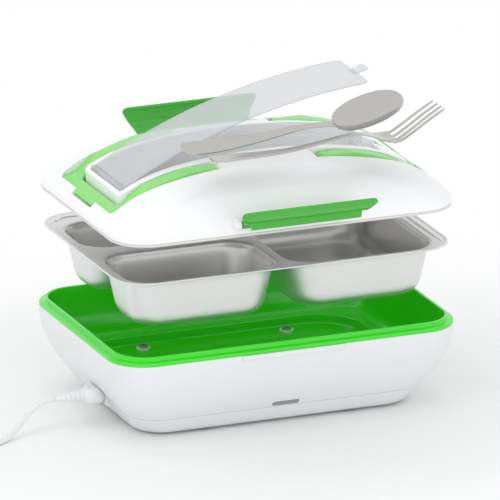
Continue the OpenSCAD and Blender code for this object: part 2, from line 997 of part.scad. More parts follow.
module plug_pins() {
    color(steel)
        translate(plug_at)
            rotate([0, 0, 20])
                for (s = [-1, 1])
                    translate([-19, s * 9.5, 7])
                        rotate([0, 90, 0])
                            cylinder(r = 2, h = 19);
}

base_shell();
bottom_cover();
rubber_feet();
inner_liner();
heat_plate();
heater_element();
heater_terminals();
thermostat();
thermal_fuse();
liner_screws();
screw_washers();
inlet_socket();
inlet_pins();
indicator_lens();
indicator_lamp();
internal_wires();
food_tray();
lid_shell();
lid_inner_panel();
panel_gasket();
lid_seal();
cutlery_cover();
left_handle();
right_handle();
handle_pins();
front_latch();
rear_latch();
latch_pins();
spoon();
fork();
lead_connector();
strain_relief();
cord_tube();
cord_coil();
cord_tie();
mains_plug();
plug_pins();
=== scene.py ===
"""Electric lunch box, opened out: green-lined base with its mains lead, pressed
steel tray above it, domed lid above the tray, swinging handles, two latches,
frosted cutlery cover, spoon and fork. Lengths in the functions are millimetres;
+X is the length of the box, -Y its front, +Z up, and the origin is on the table
under its middle."""
import math

import bmesh
import bpy
import numpy as np
from bpy.props import FloatProperty, FloatVectorProperty, PointerProperty
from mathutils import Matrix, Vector


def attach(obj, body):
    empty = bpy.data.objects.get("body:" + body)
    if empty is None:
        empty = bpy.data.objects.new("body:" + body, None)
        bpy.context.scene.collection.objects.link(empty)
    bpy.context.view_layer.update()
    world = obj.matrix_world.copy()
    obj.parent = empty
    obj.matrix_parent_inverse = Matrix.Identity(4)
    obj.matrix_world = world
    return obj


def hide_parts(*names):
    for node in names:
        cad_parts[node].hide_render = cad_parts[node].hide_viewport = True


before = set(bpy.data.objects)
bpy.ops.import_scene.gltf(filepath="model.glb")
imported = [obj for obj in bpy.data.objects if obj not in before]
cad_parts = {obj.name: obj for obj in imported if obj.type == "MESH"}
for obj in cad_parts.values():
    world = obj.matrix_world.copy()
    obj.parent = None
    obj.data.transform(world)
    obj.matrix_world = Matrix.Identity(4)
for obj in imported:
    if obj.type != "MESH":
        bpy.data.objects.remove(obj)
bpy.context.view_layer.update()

bl_info = {
    "name": "Electric lunch box",
    "version": (1, 0, 0),
    "blender": (4, 2, 0),
    "location": "View3D > Sidebar > Lunch box",
    "description": "Builds the visible pieces of an electric lunch box, one operator for each",
    "category": "Object",
}

MM = 0.001
# length, width and corner radius of the three outlines
RIM, TRAY, LID = (240.0, 168.0, 25.5), (232.8, 162.6, 23.4), (236.6, 166.8, 25.4)
SEAM_Z, FLANGE_Z, WALL, BASE_FOOT_INSET = 13.5, 56.4, 2.2, 25.5
TRAY_REST, LID_REST, LID_H, SKIRT_H = 110.6, 136.8, 39.5, 5.0
COVER_X, COVER_HALF, COVER_RISE, COVER_W, COVER_T, COVER_CORNER = -5.0, 89.0, 10.0, 52.0, 1.8, 5.0
COVER_START, COVER_FREE = COVER_X - COVER_HALF, COVER_X + COVER_HALF
TROUGH_L, TROUGH_W, TROUGH_R, TROUGH_FLOOR = 168.0, 47.0, 6.0, 13.0
COVER_END_Z, COVER_HINGE_X, COVER_HINGE_Z = 24.0, -95.6, 22.0
HANDLE_HINGE_X, HANDLE_HINGE_Z, BARREL_Y, BARREL_R = 38.0, 32.3, 39.2, 2.6
HANDLE_END_X, HANDLE_BAR_X, HANDLE_SIDE_Y, HANDLE_GRIP_Y, HANDLE_T = 113.0, 102.5, 45.4, 33.0, 4.0
HANDLE_CORNER, GRIP_CORNER = 4.0, 6.0
LATCH_Y, LATCH_Z, LATCH_BAR_W, LATCH_W, LUG_X = 87.4, 9.5, 76.0, 94.0, 40.2
# how far each moving part stands from its closed place, in degrees
FRONT_LATCH_OPEN, REAR_LATCH_OPEN, COVER_OPEN = 105.0, 140.0, 16.8
INLET_Y, INLET_Z, CONNECTOR_X = -15.0, 19.2, -108.5
COIL_X, COIL_Y, PLUG_X, PLUG_Y, PLUG_TURN = -246.0, -52.0, -262.0, -98.4, 20.0
# the coil's larger radius, how far its turns lie apart, and the lead's middle on the table
COIL_R, TURN_GAP, LEAD_Z = 24.1, 3.9, 1.95
SPOON_Y, NECK_Z, FORK_Y, TINE_PITCH, CUTLERY_T = -64.5, 199.6, -60.0, 6.4, 1.2
LENS_Z, SCREW_X, SCREW_Y = 16.2, 50.5, 53.5
# where the cover's ledge rounds off, its half width, and the level above the
# dome that what is cut out of it runs up to
LEDGE_END, LEDGE_HALF, CUT_TOP = 79.6, 26.6, 46.0


# ---- curves and grids ----

def xyz(x, y, z):
    """Points out of their three coordinates, stretched to one size."""
    return np.stack(np.broadcast_arrays(x, y, z), axis=-1)


def rounded_rings(length, width, radius, height, per_corner=14):
    """Rows of points round rounded rectangles. Each point is a corner's centre,
    half the size less the radius away from the middle, plus the radius times
    the cosine and sine of an angle that goes once round."""
    length, width, radius, height = (
        np.atleast_1d(np.asarray(v, float))[:, None] for v in (length, width, radius, height))
    quarter = np.linspace(0, 90, per_corner + 1)
    turn = np.radians(np.concatenate([90 * c + quarter for c in range(4)]))[None, :]
    sx, sy = (np.repeat(signs, per_corner + 1) for signs in ([1, -1, -1, 1], [1, 1, -1, -1]))
    x = sx * (length / 2 - radius) + radius * np.cos(turn)
    y = sy * (width / 2 - radius) + radius * np.sin(turn)
    return xyz(x, y, height)


def inset_rings(size, inset, height):
    """Rings of a length, width and corner radius, all pulled in by the inset."""
    length, width, radius = size
    inset = np.asarray(inset, float)
    return rounded_rings(length - 2 * inset, width - 2 * inset, radius - inset, height)


def smooth_line(points, per=6):
    """Catmull-Rom curve through the points: each piece is the cubic through two
    neighbours whose slopes are half the chord between the points beside them."""
    p = np.asarray(points, float)
    p = np.vstack([2 * p[0] - p[1], p, 2 * p[-1] - p[-2]])
    t = np.linspace(0, 1, per, endpoint=False)[None, :, None]
    a, b, c, d = (p[k:len(p) - 3 + k, None, :] for k in range(4))
    curve = 0.5 * (2 * b + (c - a) * t + (2 * a - 5 * b + 4 * c - d) * t ** 2
                   + (3 * b - a - 3 * c + d) * t ** 3)
    return np.vstack([curve.reshape(-1, p.shape[1]), p[-2]])


def arc(cx, cy, r, start, end, n=7):
    """Points on a circle's arc: the centre plus r times cosine and sine."""
    a = np.radians(np.linspace(start, end, n))
    return np.stack([cx + r * np.cos(a), cy + r * np.sin(a)], axis=1)


def tube_rows(path, half_wide, half_high, sides):
    """Rings round a path. The tangent is a central difference; the side vector
    is square to it and level, and the upward one square to both. Each ring is
    side times cosine plus up times sine, scaled to the half sizes."""
    along = np.gradient(path, axis=0)
    along /= np.linalg.norm(along, axis=1, keepdims=True)
    side = np.cross(along, [0.01, 0.02, 1.0])
    side /= np.linalg.norm(side, axis=1, keepdims=True)
    up = np.cross(side, along)
    a = np.linspace(0, 2 * np.pi, sides, endpoint=False)[None, :, None]
    wide, high = (np.broadcast_to(h, len(path))[:, None, None] for h in (half_wide, half_high))
    return path[:, None, :] + wide * np.cos(a) * side[:, None, :] + high * np.sin(a) * up[:, None, :]


def lathe_rows(profile, sides=48):
    """Rings about the z axis: each profile point's radius times cosine and
    sine, at its height."""
    profile = np.asarray(profile, float)
    a = np.linspace(0, 2 * np.pi, sides, endpoint=False)[None, :]
    r, z = profile[:, :1], profile[:, 1:]
    return xyz(r * np.cos(a), r * np.sin(a), z)


def turned(points, axis, degrees, pivot=(0, 0, 0)):
    """Points turned about a coordinate axis through the pivot."""
    c, s = math.cos(math.radians(degrees)), math.sin(math.radians(degrees))
    m = {"x": [[1, 0, 0], [0, c, -s], [0, s, c]],
         "y": [[c, 0, s], [0, 1, 0], [-s, 0, c]],
         "z": [[c, -s, 0], [s, c, 0], [0, 0, 1]]}[axis]
    pivot = np.asarray(pivot, float)
    return (np.asarray(points, float) - pivot) @ np.array(m).T + pivot


def barrel_rows(profile, sides, centre, axis="x"):
    """A lathe shape laid along y, or along x by a turn about y, at its centre."""
    return turned(lathe_rows(profile, sides), axis, 90) + np.array(centre)


class Shape:
    """Gathers grids of points into one mesh."""

    def __init__(self):
        self.rows = []
        self.faces = []
        self.count = 0

    def grid(self, points, around=True, along=False, cap_low=False, cap_high=False, place=None):
        """Quads between neighbouring rows and columns of a grid of points;
        around closes each row, along joins the last row to the first."""
        if place is not None:
            points = place(points)
        m, n = points.shape[:2]
        index = self.count + np.arange(m * n).reshape(m, n)
        a = index if along else index[:-1]
        b = np.roll(index, -1, axis=0) if along else index[1:]
        if around:
            quads = np.stack([a, np.roll(a, -1, axis=1), np.roll(b, -1, axis=1), b], axis=-1)
        else:
            quads = np.stack([a[:, :-1], a[:, 1:], b[:, 1:], b[:, :-1]], axis=-1)
        self.faces += quads.reshape(-1, 4).tolist()
        if cap_low:
            self.faces.append(index[0, ::-1].tolist())
        if cap_high:
            self.faces.append(index[-1].tolist())
        self.rows.append(points.reshape(-1, 3))
        self.count += m * n
        return self

    def solid(self, points, place=None):
        """A grid whose rows close and whose two ends are capped."""
        return self.grid(points, cap_low=True, cap_high=True, place=place)

    def prism(self, outline, axis, low, high, soft=0.3, place=None):
        """An outline carried along x or y between two planes, with its end
        edges pulled in by a small amount."""
        outline = np.asarray(outline, float)
        middle = outline.mean(axis=0)
        away = outline - middle
        reach = np.linalg.norm(away, axis=1, keepdims=True)
        inner = middle + away * (1 - soft / np.maximum(reach, 1e-6))
        rows = []
        for flat, level in ((inner, low), (outline, low + soft), (outline, high - soft), (inner, high)):
            u, v = flat[:, 0], flat[:, 1]
            rows.append(xyz(level, u, v) if axis == "x" else xyz(u, level, v))
        return self.solid(np.stack(rows), place=place)

    def mesh(self, name, recalc=True):
        """The gathered grids as a mesh in metres, faces outward."""
        data = bpy.data.meshes.new(name)
        data.from_pydata((np.vstack(self.rows) * MM).tolist(), [], self.faces)
        if recalc:
            work = bmesh.new()
            work.from_mesh(data)
            bmesh.ops.remove_doubles(work, verts=work.verts, dist=1e-7)
            bmesh.ops.recalc_face_normals(work, faces=work.faces)
            work.to_mesh(data)
            work.free()
        return data

    def put(self, name, recalc=True):
        """The gathered grids as an object in the scene."""
        return put_in_scene(self.mesh(name, recalc), name)


def vertex_values(data, key):
    """One row of three numbers for each vertex of a mesh."""
    values = np.empty(len(data.vertices) * 3, np.float32)
    data.vertices.foreach_get(key, values)
    return values.reshape(-1, 3)


def put_in_scene(data, name):
    """An object at the origin that holds a mesh, camera or lamp."""
    piece = bpy.data.objects.new(name, data)
    bpy.context.scene.collection.objects.link(piece)
    return piece


def settle(piece):
    """Applies the piece's modifiers by taking its evaluated mesh."""
    bpy.context.view_layer.update()
    data = bpy.data.meshes.new_from_object(piece.evaluated_get(bpy.context.evaluated_depsgraph_get()))
    old = piece.data
    piece.modifiers.clear()
    piece.data = data
    data.name = piece.name
    bpy.data.meshes.remove(old)


def join(pieces, name):
    """One object out of several meshes, all already in place."""
    data = bpy.data.meshes.new(name)
    work = bmesh.new()
    for piece in pieces:
        work.from_mesh(piece.data)
    work.to_mesh(data)
    work.free()
    for piece in pieces:
        bpy.data.objects.remove(piece)
    return put_in_scene(data, name)


def cut(piece, tools):
    """Takes each tool's shape out of the piece, one after the other."""
    for tool in tools:
        cutter = tool.put("cutter")
        knife = piece.modifiers.new("cut", "BOOLEAN")
        knife.operation, knife.object, knife.solver = "DIFFERENCE", cutter, "EXACT"
        settle(piece)
        bpy.data.objects.remove(cutter)


def soften(piece, width, angle):
    """Rounds every edge sharper than the angle, in two steps."""
    work = bmesh.new()
    work.from_mesh(piece.data)
    bmesh.ops.remove_doubles(work, verts=work.verts, dist=2e-5)
    bmesh.ops.dissolve_degenerate(work, edges=work.edges, dist=1e-5)
    work.to_mesh(piece.data)
    work.free()
    rounding = piece.modifiers.new("soft edges", "BEVEL")
    rounding.width, rounding.segments = width * MM, 2
    rounding.limit_method, rounding.angle_limit = "ANGLE", math.radians(angle)
    settle(piece)


def finish_piece(piece, material, body, nodes, angle):
    """Shades the piece smooth with edges sharper than the angle kept crisp,
    gives it its material and ties it to its body."""
    piece.data.shade_smooth()
    piece.data.set_sharp_from_angle(angle=math.radians(angle))
    piece.data.materials.clear()
    piece.data.materials.append(material)
    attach(piece, body)
    if nodes:
        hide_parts(*nodes)
    return piece


def dress_node(name, material):
    """Gives a construction node that stays its material."""
    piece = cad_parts[name]
    if not piece.material_slots:
        piece.data.materials.append(material)
    for place in piece.material_slots:
        place.material = material


# ---- materials ----

class Value:
    """A socket that carries a number; arithmetic on it adds Math nodes."""

    def __init__(self, finish, socket):
        self.finish, self.socket = finish, socket

    def _math(self, operation, first, second):
        made = self.finish.node("Math", {"operation": operation}, {0: first, 1: second})
        return Value(self.finish, made.outputs[0])

    def __add__(self, other):
        return self._math("ADD", self, other)

    def __rsub__(self, other):
        return self._math("SUBTRACT", other, self)

    def __mul__(self, other):
        return self._math("MULTIPLY", self, other)


class Finish:
    """A material or world and the one method that adds nodes to it."""

    def __init__(self, name, kind="materials"):
        self.owner = getattr(bpy.data, kind).new(name)
        self.owner.use_nodes = True
        self.tree = self.owner.node_tree
        self.tree.nodes.clear()

    def node(self, kind, settings=None, inputs=None):
        """A node of that type: settings first, then socket values or links."""
        made = self.tree.nodes.new("ShaderNode" + kind)
        for key, setting in (settings or {}).items():
            setattr(made, key, setting)
        for key, given in (inputs or {}).items():
            given = given.socket if isinstance(given, Value) else given
            if isinstance(given, bpy.types.NodeSocket):
                self.tree.links.new(given, made.inputs[key])
            else:
                made.inputs[key].default_value = given
        return made

    def noise(self, scale, detail=3.0, stretch=(1, 1, 1)):
        """Soft noise on object coordinates, in cells of 1/scale metres."""
        place = self.node("TexCoord").outputs["Object"]
        if stretch != (1, 1, 1):
            place = self.node("Mapping", None, {"Vector": place, "Scale": stretch}).outputs[0]
        return Value(self, self.node("TexNoise", None, {
            "Vector": place, "Scale": scale, "Detail": detail, "Roughness": 0.55}).outputs[0])

    def axes(self):
        """The object's x, y and z coordinates in millimetres."""
        split = self.node("SeparateXYZ", None, {0: self.node("TexCoord").outputs["Object"]})
        return [Value(self, split.outputs[k]) * 1000.0 for k in range(3)]

    def blend(self, factor, first, second):
        """A colour between two colours."""
        return self.node("Mix", {"data_type": "RGBA"}, {0: factor, 6: first, 7: second}).outputs[2]

    def bump(self, height, strength, depth):
        """Surface relief of that depth in millimetres."""
        return self.node("Bump", None, {
            "Height": height, "Strength": strength, "Distance": depth * MM}).outputs[0]

    def surface(self, shader, output="OutputMaterial"):
        """Joins the shader to the output, and gives the material or world."""
        self.tree.links.new(shader.outputs[0], self.node(output).inputs[0])
        return self.owner


def tint(colour, by):
    """The colour with each channel multiplied, and full opacity."""
    return tuple(min(1.0, c * by) for c in colour) + (1.0,)


def moulded(name, colour, roughness, coat=0.0, grain=0.35):
    """Moulded plastic: faint flow marks in the colour, a fine orange peel in
    the relief, and patches that are a little glossier than the rest."""
    f = Finish(name)
    flow = f.noise(16.0, 2.0)
    peel = f.noise(1400.0, 2.0)
    return f.surface(f.node("BsdfPrincipled", None, {
        "Base Color": f.blend(flow, tint(colour, 0.97), tint(colour, 1.02)),
        "Roughness": f.noise(70.0, 3.0) * 0.09 + (roughness - 0.045),
        "Normal": f.bump(peel, grain, 0.012),
        "Coat Weight": coat, "Coat Roughness": 0.08, "IOR": 1.49}))


def polished_steel(name, colour, roughness, stretch=(1, 14, 14), grain=0.12):
    """Drawn stainless steel: fine grain stretched along the piece, in both
    the relief and the roughness, over slow patches of tone."""
    f = Finish(name)
    grain_lines = f.noise(420.0, 4.0, stretch)
    patches = f.noise(22.0, 3.0)
    return f.surface(f.node("BsdfPrincipled", None, {
        "Base Color": f.blend(patches, tint(colour, 0.94), tint(colour, 1.04)),
        "Metallic": 1.0,
        "Roughness": grain_lines * 0.10 + patches * 0.06 + (roughness - 0.08),
        "Normal": f.bump(grain_lines, grain, 0.01)}))


def tray_steel(colours):
    """Pressed sheet: a satin outside with a fine even grain, and compartments
    polished a little darker, told apart by the mesh's own attribute."""
    f = Finish("tray_steel")
    inside = Value(f, f.node("Attribute", {"attribute_name": "inside"}).outputs["Fac"])
    speck = f.noise(2600.0, 2.0)
    drawn = f.noise(260.0, 3.0, (1, 1, 9))
    tone = f.noise(14.0, 2.0)
    satin = f.blend(tone, tint(colours.tray_outside, 0.95), tint(colours.tray_outside, 1.04))
    bright = f.blend(tone, tint(colours.tray_inside, 0.92), tint(colours.tray_inside, 1.08))
    return f.surface(f.node("BsdfPrincipled", None, {
        "Base Color": f.blend(inside, satin, bright),
        "Metallic": 1.0,
        "Roughness": (1.0 - inside) * 0.14 + speck * 0.05 + drawn * 0.05 + 0.24,
        "Normal": f.bump(speck * 0.4 + drawn * 0.6, 0.06, 0.006)}))


def frosted(name, colour, opacity):
    """Frosted clear plastic: each face lets part of the light straight through
    and scatters the rest, a little unevenly."""
    f = Finish(name)
    cloud = f.noise(28.0, 3.0)
    return f.surface(f.node("BsdfPrincipled", None, {
        "Base Color": f.blend(cloud, tint(colour, 0.97), tint(colour, 1.02)),
        "Roughness": f.noise(900.0, 2.0) * 0.15 + 0.32,
        "Alpha": cloud * 0.08 + (opacity - 0.04),
        "Normal": f.bump(f.noise(1800.0, 2.0), 0.3, 0.02),
        "Coat Weight": 0.25, "Coat Roughness": 0.15, "IOR": 1.5}))


# ---- shapes of the box's own pieces ----

def slot_outline(wide, high, radius):
    """Across and up coordinates of a rounded slot about its middle."""
    ring = rounded_rings(wide, high, radius, 0.0, 8)[0]
    return ring[:, 0], ring[:, 1]


def base_inset(z):
    """How far the base's wall stands in from its rim: below the seam a straight
    slope from the foot; above it 16.9 mm times the power 1.9 of the height left
    to 55 mm, as a share of 41.5 mm."""
    z = np.asarray(z, float)
    upper = 16.9 * np.clip((55 - z) / 41.5, 0, None) ** 1.9
    return np.where(z < SEAM_Z, BASE_FOOT_INSET - 8.6 * z / SEAM_Z, upper)


def base_rows(z, extra):
    """Rounded rectangles of the base at those heights, pulled in by extra."""
    i = base_inset(z)
    length, width, radius = RIM
    return rounded_rings(length - 2 * (i + extra), width - 2 * (i + extra),
                         radius - 4.5 * i / BASE_FOOT_INSET - np.asarray(extra, float), z)


def dome_rows(t):
    """Rounded rectangles of the lid's dome, where t runs from the skirt's top
    to the crown: half length and half width fall as powers of 1 less t to the
    power 1.3, and the corners grow rounder by 11 mm."""
    fall = np.clip(1 - t ** 1.3, 0, None)
    length, width = LID[0] * fall ** 0.39, LID[1] * fall ** 0.31
    radius = np.minimum(np.minimum(width, length) / 2 - 0.5, LID[2] + 11 * t)
    return rounded_rings(length, width, radius, LID_REST + SKIRT_H + (LID_H - SKIRT_H) * t)


def dome_top(x):
    """Height of the dome above the lid's lower edge along its middle."""
    half = LID[0] / 2
    x = np.clip(np.abs(np.asarray(x, float)), 0, half - 0.01)
    return SKIRT_H + (LID_H - SKIRT_H) * (1 - (x / half) ** 2.564) ** 0.769


def cover_low(x):
    """Underside of the closed cover: an arc that rises 10 mm over its length."""
    radius = (COVER_HALF ** 2 + COVER_RISE ** 2) / (2 * COVER_RISE)
    x = np.asarray(x, float)
    return COVER_END_Z - COVER_T + COVER_RISE - radius + np.sqrt(radius ** 2 - (x - COVER_X) ** 2)


def corner_inset(x, start):
    """How far the cover's rounded corner pulls its side in past the start: the
    radius less the root of its square less the square of the way past."""
    past = np.clip(x - start, 0, COVER_CORNER)
    return COVER_CORNER - np.sqrt(COVER_CORNER ** 2 - past ** 2)


def handle_top(x):
    """Top of a handle: 0.6 mm under the dome's line, less a dip past 84 mm that
    is 4.1 mm times the square of a sine over the way to the end, and nowhere
    above its hinge's barrel."""
    x = np.asarray(x, float)
    way = np.clip((x - 84) / 29, 0, 1) ** 1.35
    return np.minimum(HANDLE_HINGE_Z + BARREL_R, dome_top(x) - 0.6 - 4.1 * np.sin(np.pi * way) ** 2)


def handle_low(x):
    """Underside of a handle, which rises by a fifth of the way past the bar."""
    return handle_top(x) - HANDLE_T + 0.2 * np.clip(np.asarray(x, float) - HANDLE_BAR_X, 0, None)


def bow_edges(grow, start):
    """Outer and inner edge of a handle seen from above, right side: straight
    along the rail, round the corner, straight across the end bar and back."""
    def edge(x, y, r):
        rail = np.linspace(start, x - r, 26)[:-1]
        near = arc(x - r, -y + r, r, -90, 0, 9)
        bar = np.linspace(-y + r, y - r, 12)[1:-1]
        far = arc(x - r, y - r, r, 0, 90, 9)
        return np.vstack([np.stack([rail, np.full(25, -y)], 1), near,
                          np.stack([np.full(10, x), bar], 1), far,
                          np.stack([rail[::-1], np.full(25, y)], 1)])
    return (edge(HANDLE_END_X + grow, HANDLE_SIDE_Y + grow, HANDLE_CORNER + grow),
            edge(HANDLE_BAR_X - grow, HANDLE_GRIP_Y - grow, GRIP_CORNER - grow))


def bow_rows(grow=0.0, below=0.0, top=None, edge=0.9, start=HANDLE_HINGE_X):
    """A handle's ring of section: at each place round the bow, a rounded
    rectangle that spans its outer and inner edge, with its top and underside
    at the dome-following heights for that x. The underside draws in by a
    sixteenth of the way past 76 mm."""
    outer, inner = bow_edges(grow, start)
    across = inner - outer
    wide = np.linalg.norm(across, axis=1)[:, None]
    unit = across / wide
    a = np.radians(np.linspace(0, 90, 5))[None, :]
    rise = edge - edge * np.cos(a) + 0 * wide
    q = np.concatenate([rise[:, ::-1], rise, wide - rise[:, ::-1], wide - rise], axis=1)
    x = outer[:, :1] + unit[:, :1] * q
    y = outer[:, 1:] + unit[:, 1:] * q
    low = handle_low(x) - below
    high = handle_top(x) if top is None else np.full_like(x, top)
    down = edge - edge * np.sin(a)
    drop = np.concatenate([down[:, ::-1], down, down[:, ::-1], down], axis=1)
    is_low = np.concatenate([np.ones(5), np.zeros(10), np.ones(5)])[None, :]
    z = is_low * (low + drop) + (1 - is_low) * (high - drop)
    x = x - is_low * np.clip((x - 76) / 16, 0, None)
    return xyz(x, y, z + LID_REST)


def swung_cover(points):
    """Points of the closed cover, swung up about its hinge."""
    return turned(points, "y", -COVER_OPEN, (COVER_HINGE_X, 0, LID_REST + COVER_HINGE_Z))


def lid_cuts(low):
    """Everything that is taken out of the dome, as closed shapes."""
    # trough for the spoon and fork, its floor round at the edges
    z = TROUGH_FLOOR + np.array([0, 0.25, 1.0, 2.2, 32.0])
    inset = np.array([2.6, 1.1, 0.3, 0.0, 0.0])
    trough = rounded_rings(TROUGH_L - 2 * inset, TROUGH_W - 2 * inset, TROUGH_R - inset * 0.6, z + low, 8)
    tools = [Shape().solid(trough + np.array([COVER_X + 3, 0, 0]))]
    # ledge that the cover lies on
    x = np.concatenate([np.linspace(COVER_START - 0.6, LEDGE_END - 0.2, 46),
                        LEDGE_END + COVER_CORNER * np.sin(np.linspace(0.02, math.pi / 2, 12))])
    floor = cover_low(np.clip(x, COVER_START, COVER_FREE)) - 0.4 + low
    half = LEDGE_HALF - corner_inset(x, LEDGE_END)
    top = low + CUT_TOP + 4
    tools.append(Shape().solid(np.stack([
        xyz(x, -half, floor), xyz(x, half, floor), xyz(x, half, top), xyz(x, -half, top)], axis=1)))
    # seat of the cover's hinge, and the slot for its tab
    seat = np.vstack([arc(COVER_HINGE_X, COVER_HINGE_Z, 2.6, 180, 360, 15),
                      [[COVER_HINGE_X + 3.4, CUT_TOP], [COVER_HINGE_X - 2.6, CUT_TOP]]])
    slot = np.array([[78.3, 21], [93.6, 21], [93.6, CUT_TOP], [78.3, CUT_TOP]])
    tools.append(Shape().prism(seat + [0, low], "y", -LEDGE_HALF, LEDGE_HALF, 0.0))
    tools.append(Shape().prism(slot + [0, low], "y", -7, 7, 0.0))
    # pockets a little larger than the handles and their barrels, and finger scoops
    barrel = np.vstack([arc(HANDLE_HINGE_X, HANDLE_HINGE_Z, BARREL_R + 0.6, 180, 360, 17),
                        [[HANDLE_HINGE_X + 3.2, CUT_TOP], [HANDLE_HINGE_X - 11, CUT_TOP],
                         [HANDLE_HINGE_X - 11, HANDLE_HINGE_Z + 7]]]) + [0, low]
    scoop = barrel_rows([[3.0, -17], [4.0, -16.6], [4.4, -15.6], [4.4, 15.6], [4.0, 16.6], [3.0, 17]],
                        32, (112.4, 0, low + 13))
    for side in (1, -1):
        flip = np.array([side, 1, 1])
        tools.append(Shape().solid(bow_rows(0.5, 0.5, 60.0, 0.3, start=HANDLE_HINGE_X - 0.2) * flip))
        for y in (-BARREL_Y, BARREL_Y):
            tools.append(Shape().prism(barrel * [side, 1], "y", y - 6.7, y + 6.7, 0.0))
        tools.append(Shape().solid(scoop * flip))
    return tools


LATCH_BAR = np.vstack([arc(0, 0, 2.6, 0, 268, 15), [
    [0.4, -13], [0.4, -15.7], [0.1, -16], [-3, -16], [-3.2, -16.6], [-3, -17.2], [0.6, -19.2],
    [1.6, -19.4], [3.0, -19.0], [3.2, -18.4], [2.9, -10], [2.7, -4]]])
LIP_LINE = smooth_line([[2.1, -6.0], [2.05, -10.0], [2.05, -14.0], [2.15, -18.2], [3.1, -21.2],
                        [5.2, -24.3], [7.0, -26.2], [8.9, -27.1]], 5)
LIP_CORNER = 3.4


def lip_slope():
    """Unit direction of the lip's middle line, and the one out of its face."""
    along = np.gradient(LIP_LINE, axis=0)
    along /= np.linalg.norm(along, axis=1, keepdims=True)
    return along, np.stack([-along[:, 1], along[:, 0]], axis=1)


def lip_rows():
    """The latch's face as rings across its width: a middle line in section,
    offset to both sides by a thickness that thins to its rounded edge. Half
    its width grows from the bar's by the power 1.55 of the way down, and ends
    in quarter circles of 3.4 mm."""
    _, normal = lip_slope()
    place = np.linspace(0, 1, len(LIP_LINE))
    half = (0.65 + 0.6 * np.clip(place / 0.5, 0, 1)) * np.sqrt(
        np.clip(1 - np.clip((place - 0.9) / 0.1, 0, 1) ** 2, 0.04, 1))
    length = np.concatenate([[0], np.cumsum(np.linalg.norm(np.diff(LIP_LINE, axis=0), axis=1))])
    past = np.clip(length - (length[-1] - LIP_CORNER), 0, LIP_CORNER)
    way = np.clip((-LIP_LINE[:, 1] - 5.5) / 19.5, 0, 1) ** 1.55
    reach = (LATCH_BAR_W + (LATCH_W - LATCH_BAR_W) * way) / 2
    reach -= LIP_CORNER - np.sqrt(LIP_CORNER ** 2 - past ** 2 + 1e-9)
    across = np.linspace(-1, 1, 41)
    edge = np.sqrt(np.clip(1 - np.clip((np.abs(across) - 0.975) / 0.025, 0, 1) ** 2, 0.05, 1))
    rows = []
    for side in (1, -1):
        u, v = (LIP_LINE[:, k, None] + side * normal[:, k, None] * half[:, None] * edge for k in (0, 1))
        rows.append(xyz(reach[:, None] * across, u, v))
    return np.concatenate([rows[0], rows[1][:, ::-1]], axis=1)


def oval_rows():
    """Raised oval on the face: an ellipse 44 by 6.6 mm that lies along the
    slope of the face 21.8 mm under the hinge, its edge a quarter round."""
    slope, normal = lip_slope()
    k = np.abs(LIP_LINE[:, 1] + 21.8).argmin()
    a = np.linspace(0, 2 * np.pi, 48, endpoint=False)[None, :]
    grow = np.array([1.0, 0.985, 0.95, 0.6, 0.02])[:, None]
    rise = np.array([-0.9, 0.25, 0.5, 0.55, 0.55])[:, None] + 1.25
    s = 3.3 * grow * np.sin(a)
    u, v = (LIP_LINE[k, n] + slope[k, n] * s + normal[k, n] * rise for n in (0, 1))
    return xyz(22 * grow * np.cos(a), u, v)


def latch_place(angle, front):
    """Takes a closed latch's (x, out, up) to its swung place on the lid."""
    def place(points):
        p = turned(points, "x", angle)
        p = p + np.array([0, LATCH_Y, LID_REST + LATCH_Z])
        return p * np.array([1, -1, 1]) if front else p
    return place


def strip_rows(stations, across):
    """Dished sheet metal: stations of x, height, half width and dish; the top
    hangs below its edges by the dish times 1 less the square of the place
    across, and the underside follows a thickness that thins at the edges."""
    s = np.asarray(stations, float)
    k = np.linspace(-1, 1, across)[None, :]
    top = s[:, 1:2] - s[:, 3:4] * (1 - k ** 2)
    thin = CUTLERY_T * (0.45 + 0.55 * (1 - np.abs(k) ** 6))
    high = top - (CUTLERY_T - thin) * 0.5
    upper, lower = (xyz(s[:, :1], s[:, 2:3] * k, z) for z in (high, high - thin))
    return np.concatenate([upper, lower[:, ::-1]], axis=1)


BOWLS = ((-57.2, -45.0, 104.0, 65.0, 18.0), (-57.2, 31.5, 104.0, 57.0, 18.0),
         (53.0, -8.3, 103.0, 137.0, 20.0))
BOWL_WALL = smooth_line([[0.9, 0.2], [1.4, -1.4], [2.2, -4], [3.7, -12], [5.6, -22.2], [6.4, -25.6],
                         [7.6, -28.4], [9.6, -30.7], [13, -32.0], [17, -32.3]], 4)


def bowl_rows(b):
    """A compartment from its mouth down: rounded rectangles inset along the
    wall's smooth line, after a small round over at the mouth."""
    lip = arc(-1.2, -1.0, 2.0, 90, 8, 7)
    profile = np.vstack([lip, BOWL_WALL[1:]])
    inset, z = profile[:, 0], profile[:, 1]
    rows = rounded_rings(b[2] - 2 * inset, b[3] - 2 * inset, b[4] - 0.35 * inset, z, 12)
    return rows + np.array([b[0], b[1], TRAY_REST])


